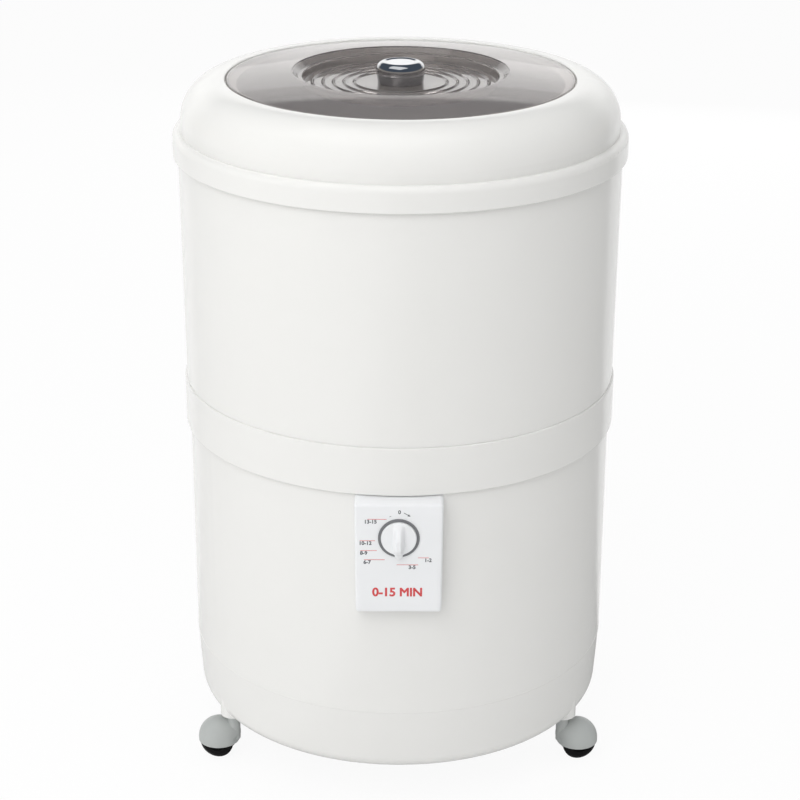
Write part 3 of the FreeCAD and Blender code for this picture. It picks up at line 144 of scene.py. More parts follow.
class Recipe:
    """The nodes of one material, with short ways to add the nodes that the finishes share."""

    def __init__(self, name: str) -> None:
        """Start a material.

        Args:
            name: the material's name.
        """
        self.material = bpy.data.materials.new(name)
        self.material.use_nodes = True
        self.tree = self.material.node_tree
        self.shader = self.tree.nodes["Principled BSDF"]
        self.output = self.tree.nodes["Material Output"]
        self.place = self.tree.nodes.new("ShaderNodeTexCoord").outputs["Object"]

    def constant(self, socket: str, value: float | Colour) -> None:
        """Set one of the shader's own sockets.

        Args:
            socket: the socket's name.
            value: its number or colour.
        """
        self.shader.inputs[socket].default_value = (*value, 1.0) if isinstance(value, tuple) else value

    def join(self, source: bpy.types.NodeSocket, socket: str) -> None:
        """Lead a value into one of the shader's sockets.

        Args:
            source: the value.
            socket: the socket's name.
        """
        self.tree.links.new(source, self.shader.inputs[socket])

    def noise(self, size: float, detail: float = 2.0,
              stretch: Colour = (1.0, 1.0, 1.0)) -> bpy.types.NodeSocket:
        """Cloudy noise over the object.

        Args:
            size: width of one cloud in metres.
            detail: how many finer octaves it has.
            stretch: factors that squeeze it along x, y and z.

        Returns:
            A value around 0.5.
        """
        mapping = self.tree.nodes.new("ShaderNodeMapping")
        mapping.inputs["Scale"].default_value = stretch
        self.tree.links.new(self.place, mapping.inputs["Vector"])
        noise = self.tree.nodes.new("ShaderNodeTexNoise")
        noise.inputs["Scale"].default_value = 1.0 / size
        noise.inputs["Detail"].default_value = detail
        self.tree.links.new(mapping.outputs["Vector"], noise.inputs["Vector"])
        return noise.outputs["Fac"]

    def spread(self, value: bpy.types.NodeSocket, low: float, high: float) -> bpy.types.NodeSocket:
        """Stretch a noise's usual span over a range.

        Args:
            value: the noise.
            low: what its darker parts become.
            high: what its lighter parts become.

        Returns:
            The stretched value.
        """
        return ramp(self.tree, value, *NOISE_SPAN, low, high)

    def blend(self, value: bpy.types.NodeSocket, first: Colour, second: Colour) -> bpy.types.NodeSocket:
        """Mix two colours.

        Args:
            value: the mix, 0 for the first colour.
            first: the first colour, linear.
            second: the second colour, linear.

        Returns:
            The mixed colour.
        """
        return mixed(self.tree, value, first, second)

    def bump(self, height: bpy.types.NodeSocket, depth: float,
             under: bpy.types.NodeSocket | None = None) -> bpy.types.NodeSocket:
        """Raise the surface by a height.

        Args:
            height: the height, 0 to 1.
            depth: what a height of 1 stands for, in metres.
            under: the normal of a coarser relief below this one.

        Returns:
            The bent normal.
        """
        node = self.tree.nodes.new("ShaderNodeBump")
        node.inputs["Distance"].default_value = depth
        self.tree.links.new(height, node.inputs["Height"])
        if under is not None:
            self.tree.links.new(under, node.inputs["Normal"])
        return node.outputs["Normal"]


@dataclass(frozen=True)
class MouldedPlastic:
    """Opaque moulded plastic: clouded colour, uneven gloss, fine grain over faint sink waves.

    Attributes:
        light: colour of the lighter clouds, linear.
        dark: colour of the darker clouds, linear.
        roughness: roughness of the glossier and the duller patches.
        cloud: width of the colour clouds in metres.
        grain: width of the moulded grain in metres.
        grain_depth: height of the grain in metres.
        wave: width of the sink waves in metres.
        wave_depth: height of the sink waves in metres.
        gloss: strength of the gloss, 0.5 for plain plastic.
        ior: how strongly it bends light.
    """

    light: Colour
    dark: Colour
    roughness: Range = (0.28, 0.36)
    cloud: float = 70 * MM
    grain: float = 1.1 * MM
    grain_depth: float = 0.004 * MM
    wave: float = 55 * MM
    wave_depth: float = 0.05 * MM
    gloss: float = 0.5
    ior: float = 1.5

    def build(self, name: str) -> bpy.types.Material:
        """Make the material.

        Args:
            name: the material's name.

        Returns:
            The material.
        """
        recipe = Recipe(name)
        recipe.join(recipe.blend(recipe.noise(self.cloud, detail=3.0), self.dark, self.light), "Base Color")
        recipe.join(recipe.spread(recipe.noise(self.cloud / 4, detail=4.0), *self.roughness), "Roughness")
        waves = recipe.bump(recipe.noise(self.wave, detail=1.0), self.wave_depth)
        recipe.join(recipe.bump(recipe.noise(self.grain), self.grain_depth, waves), "Normal")
        recipe.constant("IOR", self.ior)
        recipe.constant("Specular IOR Level", self.gloss)
        return recipe.material


@dataclass(frozen=True)
class SmokedPlastic:
    """See-through tinted plastic: glossy faces round a body that swallows light with depth.

    Attributes:
        clear: colour that one thin sheet lets through.
        tint: colour that the depth of the body lets through.
        density: how fast the body swallows the rest, per metre.
        haze: share of the light that the plastic scatters instead of letting it through.
        roughness: roughness of the clearer and the rubbed patches.
        rub: width of the rubbed patches in metres.
        wave: width of the faint waves of its faces in metres.
        wave_depth: height of those waves in metres.
        ior: how strongly it bends light.
    """

    clear: Colour
    tint: Colour
    density: float
    haze: float = 0.12
    roughness: Range = (0.03, 0.07)
    rub: float = 18 * MM
    wave: float = 30 * MM
    wave_depth: float = 0.02 * MM
    ior: float = 1.49

    def build(self, name: str) -> bpy.types.Material:
        """Make the material.

        Args:
            name: the material's name.

        Returns:
            The material.
        """
        recipe = Recipe(name)
        recipe.constant("Base Color", self.clear)
        recipe.constant("Transmission Weight", 1.0 - self.haze)
        recipe.constant("IOR", self.ior)
        recipe.join(recipe.spread(recipe.noise(self.rub, detail=4.0), *self.roughness), "Roughness")
        recipe.join(recipe.bump(recipe.noise(self.wave, detail=1.0), self.wave_depth), "Normal")
        body = recipe.tree.nodes.new("ShaderNodeVolumeAbsorption")
        body.inputs["Color"].default_value = (*self.tint, 1.0)
        body.inputs["Density"].default_value = self.density
        recipe.tree.links.new(body.outputs["Volume"], recipe.output.inputs["Volume"])
        return recipe.material


@dataclass(frozen=True)
class Metal:
    """Bare or coated metal with worn patches and drawn streaks.

    Attributes:
        light: colour of the brighter patches, linear.
        dark: colour of the duller patches, linear.
        roughness: roughness of the brighter and the duller patches.
        streak: factors that squeeze the streaks along x, y and z.
        relief: height of the surface's unevenness in metres.
        size: width of the patches in metres.
        metallic: how much of it is bare metal.
    """

    light: Colour
    dark: Colour
    roughness: Range = (0.25, 0.4)
    streak: Colour = (1.0, 1.0, 1.0)
    relief: float = 0.01 * MM
    size: float = 6 * MM
    metallic: float = 1.0

    def build(self, name: str) -> bpy.types.Material:
        """Make the material.

        Args:
            name: the material's name.

        Returns:
            The material.
        """
        recipe = Recipe(name)
        patches = recipe.noise(self.size, 5.0, self.streak)
        recipe.join(recipe.blend(recipe.spread(patches, 0.0, 1.0), self.dark, self.light), "Base Color")
        wear = recipe.noise(self.size / 2, 4.0, self.streak)
        recipe.join(recipe.spread(wear, *self.roughness), "Roughness")
        recipe.join(recipe.bump(recipe.noise(self.size / 8, 3.0, self.streak), self.relief), "Normal")
        recipe.constant("Metallic", self.metallic)
        return recipe.material


@dataclass(frozen=True)
class Ink:
    """Printed ink, a little uneven in cover.

    Attributes:
        full: colour where the ink lies thick, linear.
        thin: colour where it lies thin, linear.
        patch: width of the thicker and thinner patches in metres.
        roughness: roughness of the dry ink.
    """

    full: Colour
    thin: Colour
    patch: float = 1.6 * MM
    roughness: float = 0.42

    def build(self, name: str) -> bpy.types.Material:
        """Make the material.

        Args:
            name: the material's name.

        Returns:
            The material.
        """
        recipe = Recipe(name)
        cover = recipe.spread(recipe.noise(self.patch, detail=3.0), 0.0, 1.0)
        recipe.join(recipe.blend(cover, self.full, self.thin), "Base Color")
        recipe.constant("Roughness", self.roughness)
        return recipe.material


FINISHES: dict[Look, MouldedPlastic | SmokedPlastic | Metal | Ink] = {
    Look.CASING: MouldedPlastic((0.83, 0.827, 0.806), (0.81, 0.807, 0.786), (0.16, 0.22)),
    Look.PANEL: MouldedPlastic((0.86, 0.87, 0.882), (0.845, 0.855, 0.867), cloud=30 * MM),
    Look.DIAL: MouldedPlastic((0.19, 0.195, 0.205), (0.165, 0.17, 0.18), (0.4, 0.5), 12 * MM),
    Look.LID: SmokedPlastic((0.56, 0.525, 0.51), (0.36, 0.31, 0.30), 9.0),
    Look.LID_KNOB: Metal((0.63, 0.635, 0.645), (0.59, 0.595, 0.61), (0.05, 0.1), relief=0.002 * MM,
                         size=20 * MM),
    Look.TUB: MouldedPlastic((0.80, 0.81, 0.81), (0.77, 0.78, 0.78), (0.3, 0.42)),
    Look.PULSATOR: MouldedPlastic((0.50, 0.55, 0.62), (0.46, 0.51, 0.58), (0.34, 0.46), 40 * MM),
    Look.CASTER: MouldedPlastic((0.49, 0.51, 0.50), (0.45, 0.47, 0.46), (0.34, 0.44), 14 * MM,
                                0.8 * MM, 0.008 * MM),
    Look.WHEEL: MouldedPlastic((0.009, 0.009, 0.0095), (0.006, 0.006, 0.0065), (0.5, 0.65), 8 * MM,
                               0.7 * MM, 0.02 * MM, gloss=0.12),
    Look.STEEL: Metal((0.66, 0.66, 0.65), (0.52, 0.52, 0.52)),
    Look.ALLOY: Metal((0.62, 0.63, 0.64), (0.5, 0.51, 0.52), (0.42, 0.58), relief=0.05 * MM, size=4 * MM),
    Look.RUBBER: MouldedPlastic((0.03, 0.03, 0.03), (0.02, 0.02, 0.02), (0.6, 0.75), 10 * MM,
                                0.6 * MM, 0.02 * MM),
    Look.DRAIN: MouldedPlastic((0.12, 0.125, 0.13), (0.10, 0.105, 0.11), (0.4, 0.5), 15 * MM),
    Look.MOTOR: Metal((0.12, 0.125, 0.13), (0.09, 0.095, 0.10), (0.3, 0.45), (1.0, 1.0, 0.2), metallic=0.6),
    Look.FAN: MouldedPlastic((0.04, 0.04, 0.042), (0.03, 0.03, 0.032), (0.4, 0.5), 12 * MM),
    Look.CAPACITOR: MouldedPlastic((0.72, 0.71, 0.67), (0.68, 0.67, 0.63), (0.4, 0.5), 15 * MM),
    Look.TIMER: MouldedPlastic((0.62, 0.57, 0.44), (0.58, 0.53, 0.40), (0.42, 0.52), 12 * MM),
    Look.PAN: Metal((0.58, 0.59, 0.61), (0.42, 0.43, 0.45), (0.35, 0.5), size=14 * MM),
    Look.RED_PRINT: Ink((0.62, 0.045, 0.05), (0.70, 0.09, 0.09)),
    Look.DARK_PRINT: Ink((0.045, 0.048, 0.06), (0.08, 0.085, 0.10)),
}


class Paintbox:
    """The materials, each made the first time that it is asked for."""

    def __init__(self) -> None:
        """Start without materials."""
        self.made: dict[Look, bpy.types.Material] = {}

    def material(self, look: Look) -> bpy.types.Material:
        """The material of a look.

        Args:
            look: the look.

        Returns:
            Its material.
        """
        if look not in self.made:
            self.made[look] = FINISHES[look].build(look.value)
            LOG.info("material %s", look.value)
        return self.made[look]

    def dress(self, obj: bpy.types.Object, look: Look) -> None:
        """Give an object one material.

        Args:
            obj: the object.
            look: the look that it gets.
        """
        obj.data.materials.clear()
        obj.data.materials.append(self.material(look))


PAINTS = Paintbox()


@dataclass
class Patch:
    """A surface sampled on a grid of two parameters.

    Attributes:
        points: positions, by row, column and axis.
        rows_close: whether the last row joins the first.
        columns_close: whether the last column joins the first.
    """

    points: np.ndarray
    rows_close: bool = False
    columns_close: bool = True

    def quads(self) -> np.ndarray:
        """The grid's faces.

        Returns:
            Four point numbers for each face.
        """
        rows, columns = self.points.shape[:2]
        row = np.arange(rows if self.rows_close else rows - 1)
        column = np.arange(columns if self.columns_close else columns - 1)
        row, column = np.meshgrid(row, column, indexing="ij")
        row_after, column_after = (row + 1) % rows, (column + 1) % columns
        corners = [row * columns + column, row_after * columns + column,
                   row_after * columns + column_after, row * columns + column_after]
        return np.stack(corners, axis=-1).reshape(-1, 4)


def rounded(corners: Sequence[Corner], closed: bool = True, steps: int = 8) -> np.ndarray:
    """An outline through corners, some of them rounded.

    A round is the circle that touches both legs of its corner: its points are the circle's centre plus the
    two radii at its ends, weighed by the sines of the angles to either end.

    Args:
        corners: the two coordinates of each corner, and the radius of its round if it has one.
        closed: whether the last corner leads back to the first.
        steps: how many stretches a round has.

    Returns:
        The outline's points.
    """
    places = np.array([corner[:2] for corner in corners], float)
    pieces = []
    for index, corner in enumerate(corners):
        at_end = not closed and index in (0, len(corners) - 1)
        if len(corner) < 3 or at_end:
            pieces.append(places[index:index + 1])
            continue
        here = places[index]
        legs = places[[index - 1, (index + 1) % len(corners)]] - here
        legs /= np.linalg.norm(legs, axis=1, keepdims=True)
        half = math.acos(float(np.clip(legs[0] @ legs[1], -1.0, 1.0))) / 2
        middle = legs.sum(axis=0)
        centre = here + middle / np.linalg.norm(middle) * corner[2] / math.sin(half)
        arms = here + legs * corner[2] / math.tan(half) - centre
        sweep = math.pi - 2 * half
        share = np.linspace(0.0, 1.0, steps + 1)[:, None]
        arc = np.sin((1 - share) * sweep) * arms[0] + np.sin(share * sweep) * arms[1]
        pieces.append(centre + arc / math.sin(sweep))
    return np.concatenate(pieces)


def turned(outline: np.ndarray, steps: int = 128) -> Patch:
    """A solid of revolution about Z: each outline point's radius times the cosine and sine of the angle.

    Args:
        outline: radius and height of the points of a closed outline.
        steps: how many stretches a turn has.

    Returns:
        The surface.
    """
    angle = np.arange(steps) * TURN / steps
    radius, height = outline[:, :1], outline[:, 1:]
    points = np.stack([radius * np.cos(angle), radius * np.sin(angle), height + 0 * angle], axis=-1)
    return Patch(points, rows_close=True)


def inset(outline: np.ndarray, distance: np.ndarray) -> np.ndarray:
    """Rings inside a closed outline that runs anticlockwise.

    Each point moves along the mean of its two edges' inward normals, by the distance over the cosine of half
    the angle between them.

    Args:
        outline: the outline's points.
        distance: how far in each ring lies.

    Returns:
        The rings' points, by ring, point and coordinate.
    """
    edges = np.roll(outline, -1, axis=0) - outline
    edges /= np.linalg.norm(edges, axis=1, keepdims=True)
    normals = np.stack([-edges[:, 1], edges[:, 0]], axis=1)
    mean = normals + np.roll(normals, 1, axis=0)
    mean /= (mean * normals).sum(axis=1, keepdims=True)
    return outline + distance[:, None, None] * mean


def slab(outline: np.ndarray, steps: Sequence[float], levels: Sequence[float], fan: int = 1) -> Patch:
    """A closed solid of stacked rings: an outline moved inwards step by step, with fans over both ends.

    Args:
        outline: the points of a closed outline, anticlockwise.
        steps: how far in each ring lies.
        levels: height of each ring.
        fan: how many rings a fan has.

    Returns:
        The surface, with the outline in x and y and the levels in z.
    """
    rings = inset(outline, np.asarray(steps, float))
    middle = outline.mean(axis=0)
    shrink = np.linspace(1.0, 0.0, fan + 1)[1:, None, None]
    flat = np.concatenate([(middle + (rings[0] - middle) * shrink)[::-1], rings,
                           middle + (rings[-1] - middle) * shrink])
    height = np.concatenate([np.full(fan, levels[0]), levels, np.full(fan, levels[-1])])
    height = np.repeat(height[:, None, None], len(outline), axis=1)
    return Patch(np.concatenate([flat, height], axis=-1))


def eased(value: np.ndarray) -> np.ndarray:
    """A step with soft ends: 3 times the square less 2 times the cube, between 0 and 1.

    Args:
        value: how far along the step.

    Returns:
        The height of the step.
    """
    value = np.clip(value, 0.0, 1.0)
    return value * value * (3.0 - 2.0 * value)


def place(patch: Patch, matrix: Matrix) -> Patch:
    """Move a patch.

    Args:
        patch: the patch.
        matrix: the move, as a turn and a shift.

    Returns:
        The moved patch.
    """
    move = np.array(matrix)
    return Patch(patch.points @ move[:3, :3].T + move[:3, 3], patch.rows_close, patch.columns_close)


def make_piece(name: str, patches: Sequence[Patch], look: Look, body: str, instead_of: Sequence[str] = (),
               crease: float = 30.0) -> bpy.types.Object:
    """Make one piece of the machine out of patches.

    Args:
        name: the piece's name.
        patches: its surfaces.
        look: its look.
        body: the body that it moves with.
        instead_of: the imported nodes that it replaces.
        crease: angle in degrees from which an edge stays sharp.

    Returns:
        The piece.
    """
    starts = np.cumsum([0] + [patch.points[..., 0].size for patch in patches[:-1]])
    points = np.concatenate([patch.points.reshape(-1, 3) for patch in patches])
    quads = np.concatenate([patch.quads() + start for patch, start in zip(patches, starts)])
    mesh = bpy.data.meshes.new(name)
    mesh.from_pydata(points.tolist(), [], quads.tolist())
    return finish_piece(name, mesh, look, body, instead_of, crease)


def finish_piece(name: str, mesh: bpy.types.Mesh, look: Look, body: str, instead_of: Sequence[str] = (),
                 crease: float = 30.0) -> bpy.types.Object:
    """Close a mesh's seams, turn its faces outwards and put it into the scene.

    Args:
        name: the piece's name.
        mesh: its mesh, in place.
        look: its look.
        body: the body that it moves with.
        instead_of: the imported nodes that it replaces.
        crease: angle in degrees from which an edge stays sharp.

    Returns:
        The piece.
    """
    work = bmesh.new()
    work.from_mesh(mesh)
    bmesh.ops.remove_doubles(work, verts=work.verts, dist=0.001 * MM)
    bmesh.ops.recalc_face_normals(work, faces=work.faces)
    work.to_mesh(mesh)
    work.free()
    mesh.shade_smooth()
    mesh.set_sharp_from_angle(angle=math.radians(crease))
    obj = bpy.data.objects.new(name, mesh)
    bpy.context.scene.collection.objects.link(obj)
    PAINTS.dress(obj, look)
    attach(obj, body)
    if instead_of:
        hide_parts(*instead_of)
    LOG.info("piece %s on %s: %d faces", name, body, len(mesh.polygons))
    return obj


@dataclass
class Casing:
    """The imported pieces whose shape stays, each dressed in its slot's look, and the seam round the base.

    Attributes:
        crease_height: height of the base's crease over its underside.
        seam_wire: radius of the round line at the crease.
        seam_rise: how far that line stands out of the wall.
    """

    crease_height: float = 69.4 * MM
    seam_wire: float = 0.6 * MM
    seam_rise: float = 0.22 * MM

    def seam(self) -> None:
        """Build the fine line that the mould leaves at the base's crease.

        It is a round wire let into the wall: a circle carried round the machine's axis.
        """
        low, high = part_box("base_shell")
        angle = np.arange(24) * TURN / 24
        wire = self.seam_wire * np.stack([np.cos(angle), np.sin(angle)], axis=1)
        middle = (high.x + self.seam_rise - self.seam_wire, low.z + self.crease_height)
        make_piece("base_seam", [turned(wire + middle, steps=256)], Look.CASING, "cabinet")

    def build(self) -> None:
        """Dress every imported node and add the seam."""
        for subpart in frame["record"]["subparts"]:
            PAINTS.dress(frame["nodes"][subpart["node"]], Look(subpart["material_slot"]))
        self.seam()


@dataclass
class Lid:
    """The smoked lid: a crowned flange round a stepped, ringed dish, with a bright knob in its middle.

    Attributes:
        wall: thickness of the dish's floor.
        sheet: thickness of the flange and of the dish's wall.
        crest_radius: radius of the highest line of the flange.
        ledge_radius: outer radius of the ledge in the dish's wall.
        ledge_width: width of that ledge.
        ledge_drop: height of the crest over the ledge.
        dish_radius: radius of the dish's floor.
        dish_depth: height of the crest over the dish's floor.
        rings: how many raised rings the floor has.
        ring_inset: distance of the first ring from the floor's edge.
        ring_pitch: distance from ring to ring.
        ring_width: half width of a ring.
        ring_height: height of a ring.
        edge: height of the lid's outer edge.
        edge_round: radius of that edge's upper round.
        crown: height of the crest over the outer edge.
        crest_sheet: thickness under the crest.
        crest_round: radius of the crest.
        knob_foot: radius of the knob's lower edge.
        knob_waist: how far the knob draws in at its foot.
        knob_bend: height of the bend in the knob's flank, as a share of its height.
        knob_flank: radius of that bend.
        knob_round: radius of the knob's upper edge.
        knob_border: width of the knob's top round its dish.
        knob_rim: radius of the dish's edge.
        knob_dish: depth of the shallow dish in the knob's top.
        knob_slope: width of the dish's slope, as a multiple of its depth.
        knob_hollow: radius of the slope's foot.
        hole_radius: radius of the screw's hole.
    """

    wall: float = 2.5 * MM
    sheet: float = 1.7 * MM
    crest_radius: float = 109 * MM
    ledge_radius: float = 103 * MM
    ledge_width: float = 4 * MM
    ledge_drop: float = 5.2 * MM
    dish_radius: float = 96.5 * MM
    dish_depth: float = 12.5 * MM
    rings: int = 5
    ring_inset: float = 8 * MM
    ring_pitch: float = 10.5 * MM
    ring_width: float = 1.9 * MM
    ring_height: float = 1.4 * MM
    edge: float = 6 * MM
    edge_round: float = 1.19 * MM
    crown: float = 7 * MM
    crest_sheet: float = 2.125 * MM
    crest_round: float = 1.02 * MM
    knob_foot: float = 0.6 * MM
    knob_waist: float = 1.6 * MM
    knob_bend: float = 0.45
    knob_flank: float = 14 * MM
    knob_round: float = 7.6 * MM
    knob_border: float = 7.828 * MM
    knob_rim: float = 0.9 * MM
    knob_dish: float = 0.8 * MM
    knob_slope: float = 3.2
    knob_hollow: float = 2.0 * MM
    hole_radius: float = 1.75 * MM

    def __post_init__(self) -> None:
        """Take the lid's and the knob's place from the frame."""
        low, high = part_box("lid")
        knob_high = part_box("lid_knob")[1]
        self.radius = high.x
        self.floor = low.z + self.wall
        self.crest = self.floor + self.dish_depth
        self.knob_radius = knob_high.x
        self.knob_top = knob_high.z

    def floor_relief(self) -> np.ndarray:
        """The dish's floor from its rim inwards.

        The height is the floor's level plus, for each ring, half a cosine wave over the ring's width.

        Returns:
            Radius and height of the floor's points.
        """
        radius = np.linspace(self.dish_radius - self.wall, self.hole_radius, 260)
        places = self.dish_radius - self.ring_inset - self.ring_pitch * np.arange(self.rings)
        across = np.clip((radius[:, None] - places) / self.ring_width, -1.0, 1.0)
        height = self.floor + self.ring_height * (0.5 + 0.5 * np.cos(math.pi * across)).sum(axis=1)
        return np.stack([radius, height], axis=1)

    def disc(self) -> None:
        """Build the flange and the dish as one turned solid, which lets the lamps' light into the tub."""
        under = self.floor - self.wall
        ledge = self.crest - self.ledge_drop
        edge_top = self.crest - self.crown
        seat = edge_top - self.edge
        half = self.sheet / 2
        inner = self.ledge_radius - self.ledge_width
        outside = rounded([
            (self.hole_radius, under),
            (self.dish_radius + half, under, half),
            (inner + half, ledge - self.sheet, half),
            (self.ledge_radius + half, ledge - self.sheet, half),
            (self.crest_radius, self.crest - self.crest_sheet, half),
            (self.radius - self.wall, edge_top - self.sheet, half),
            (self.radius - self.wall, seat, half / 2),
            (self.radius, seat, half / 2),
            (self.radius, edge_top, self.edge_round),
            (self.crest_radius, self.crest, self.crest_round),
            (self.ledge_radius, ledge, half),
            (inner, ledge, half),
            (self.dish_radius, self.floor, half),
            tuple(self.floor_relief()[0])], closed=False)
        outline = np.concatenate([outside, self.floor_relief()[1:]])
        disc = make_piece("lid", [turned(outline, steps=160)], Look.LID, "lid", ["lid"])
        disc.visible_shadow = False

    def knob(self) -> None:
        """Build the bright knob, drawn in at its foot, with a dished top and the hole for its screw."""
        low = self.floor
        top = self.knob_top
        screw_end = low + (top - low) / 2
        waist = self.knob_radius - self.knob_waist
        rim = self.knob_radius - self.knob_border
        dish = rim - self.knob_slope * self.knob_dish
        outline = rounded([
            (self.hole_radius, low),
            (waist, low, self.knob_foot),
            (self.knob_radius, low + (top - low) * self.knob_bend, self.knob_flank),
            (self.knob_radius, top, self.knob_round),
            (rim, top, self.knob_rim),
            (dish, top - self.knob_dish, self.knob_hollow),
            (0.0, top - self.knob_dish),
            (0.0, screw_end),
            (self.hole_radius, screw_end)], steps=16)
        make_piece("lid_knob", [turned(outline)], Look.LID_KNOB, "lid", ["lid_knob"])

    def build(self) -> None:
        """Build the lid's pieces."""
        self.disc()
        self.knob()


@dataclass(frozen=True)
class Mark:
    """A red rule on the dial with its numbers.

    Attributes:
        numbers: the minutes printed under the rule.
        start: left end of the rule, right of the dial's middle.
        end: right end of the rule.
        level: height of the rule over the dial's middle.
        numbers_at: left end of the numbers.
    """

    numbers: str
    start: float
    end: float
    level: float
    numbers_at: float


@dataclass
class ControlPanel:
    """The panel on the base with its dial ring, timer knob and prints.

    Attributes:
        taper: how much narrower each side gets from top to bottom.
        corner: radius of the corners seen from the front.
        edge: radius of the front's edge.
        slope: how much lower the top's front is than its back.
        back_gap: gap between the panel's back and the drum.
        ring_width: width of the dial's ring.
        ring_edge: radius of the ring's front edges.
        knob_gap: gap between the ring and the knob's skirt.
        knob_skirt: thickness of the skirt.
        knob_edge: radius of the skirt's front edge.
        bar_half: half the width of the grip bar.
        bar_flank: width of the bar's flanks.
        bar_end: length over which the bar's upper end falls away.
        bar_foot: length over which its lower end falls to the pointer.
        pointer_stand: height of the pointer.
        pointer_length: length of the pointer's slopes.
        pointer_start: where the pointer starts below the dial's middle, as a share of the knob's radius.
        pointer_shoulder: radius of the corners above those slopes.
        pointer_tip: radius of the pointer's tip.
        pointer_edge: radius of the pointer's front edge.
        print_height: how far a print stands out.
        rule_width: width of the printed rules.
        digit: height of the printed numbers.
        bold: how much a number's strokes are thickened.
        figure_share: height of the font's figures, as a share of its size.
        marks: the dial's marks.
        zero_at: upper left corner of the zero, from the dial's middle.
        span_at: upper left corner of the span in minutes.
        span_digit: height of that span's figures.
        tick_at: middle of the tick left of the zero.
        tick: half the length of the tick.
        arrow_start: where the arrow starts.
        arrow_end: the arrow's point.
        arrow_line: half the width of its line.
        arrow_head: half the width of its head.
        arrow_length: length of its head.
    """

    taper: float = 1.0 * MM
    corner: float = 3.4 * MM
    edge: float = 2.6 * MM
    slope: float = 3.6 * MM
    back_gap: float = 0.1 * MM
    ring_width: float = 2.6 * MM
    ring_edge: float = 0.35 * MM
    knob_gap: float = 0.3 * MM
    knob_skirt: float = 2.4 * MM
    knob_edge: float = 0.8 * MM
    bar_half: float = 3.9 * MM
    bar_flank: float = 4.6 * MM
    bar_end: float = 17 * MM
    bar_foot: float = 10 * MM
    pointer_stand: float = 5.2 * MM
    pointer_length: float = 3.4 * MM
    pointer_start: float = 0.6
    pointer_shoulder: float = 1.4 * MM
    pointer_tip: float = 0.9 * MM
    pointer_edge: float = 1.3 * MM
    print_height: float = 0.05 * MM
    rule_width: float = 0.5 * MM
    digit: float = 3.9 * MM
    bold: float = 0.19 * MM
    figure_share: float = 0.73
    marks: tuple[Mark, ...] = (
        Mark("13-15", -30.3 * MM, -11.9 * MM, 19.9 * MM, -33.7 * MM),
        Mark("10-12", -37.9 * MM, -23.1 * MM, -3.0 * MM, -38.8 * MM),
        Mark("8-9", -37.4 * MM, -21.3 * MM, -13.6 * MM, -37.6 * MM),
        Mark("6-7", -33.9 * MM, -13.6 * MM, -23.4 * MM, -34.3 * MM),
        Mark("3-5", -2.0 * MM, 19.0 * MM, -28.8 * MM, 9.5 * MM),
        Mark("1-2", 18.7 * MM, 29.3 * MM, -21.2 * MM, 25.0 * MM))
    zero_at: Corner = (-0.7 * MM, 29.6 * MM)
    span_at: Corner = (-25.8 * MM, -53.6 * MM)
    span_digit: float = 9.2 * MM
    tick_at: Corner = (-8.3 * MM, 22.9 * MM)
    tick: float = 0.9 * MM
    arrow_start: Corner = (4.8 * MM, 26.8 * MM)
    arrow_end: Corner = (11.2 * MM, 22.9 * MM)
    arrow_line: float = 0.3 * MM
    arrow_head: float = 1.2 * MM
    arrow_length: float = 2.6 * MM

    def __post_init__(self) -> None:
        """Take the panel's and the dial's place from the frame."""
        self.low, self.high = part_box("control_panel")
        ring_low, ring_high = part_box("dial_ring")
        knob_low, knob_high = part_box("timer_knob")
        self.front = self.low.y
        self.dial = Vector((0.0, self.front, (ring_low.z + ring_high.z) / 2))
        self.ring_radius = ring_high.x
        self.ring_stand = ring_high.y - ring_low.y
        self.knob_radius = self.ring_radius - self.ring_width - self.knob_gap
        self.knob_back = knob_high.y
        self.knob_depth = knob_high.y - knob_low.y
        self.pointer = self.dial.z - knob_low.z
        self.drum_radius = -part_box("base_shell")[0].x + self.back_gap
        upright = Matrix.Rotation(math.radians(90), 4, "X")
        self.on_panel = Matrix.Translation(self.dial) @ upright
        self.on_shaft = Matrix.Translation((0.0, self.knob_back, self.dial.z)) @ upright

    def body(self) -> None:
        """Build the panel as a slab from the drum to the front, with a quarter round at its front edge.

        The sides narrow towards the bottom, the top slopes down to the front, and the back lies on the drum.
        """
        half = self.high.x
        bottom, top = self.low.z, self.high.z
        front_top = top - self.slope
        outline = rounded([
            (self.taper - half, bottom, self.corner), (half - self.taper, bottom, self.corner),
            (half, front_top, self.corner), (-half, front_top, self.corner)])
        stand = -self.front - self.drum_radius
        quarter = np.linspace(0.0, math.pi / 2, 9)
        steps = np.concatenate([[0.0], self.edge * (1 - np.cos(quarter))])
        depths = np.concatenate([[1.0], self.edge * (1 - np.sin(quarter)) / stand])
        across, height, depth = np.moveaxis(slab(outline, steps, depths, fan=6).points, -1, 0)
        height = bottom + (height - bottom) * (1 + depth * self.slope / (front_top - bottom))
        drum = -np.sqrt(self.drum_radius ** 2 - across ** 2)
        along = self.front + depth * (drum - self.front)
        body = Patch(np.stack([across, along, height], axis=-1))
        make_piece("control_panel", [body], Look.PANEL, "cabinet", ["control_panel"])

    def ring(self) -> None:
        """Build the dial's grey ring as a turned solid with soft edges."""
        inner = self.ring_radius - self.ring_width
        outline = rounded([
            (inner, 0.0), (self.ring_radius, 0.0), (self.ring_radius, self.ring_stand, self.ring_edge),
            (inner, self.ring_stand, self.ring_edge)], steps=4)
        make_piece("dial_ring", [place(turned(outline), self.on_panel)], Look.DIAL, "cabinet", ["dial_ring"])

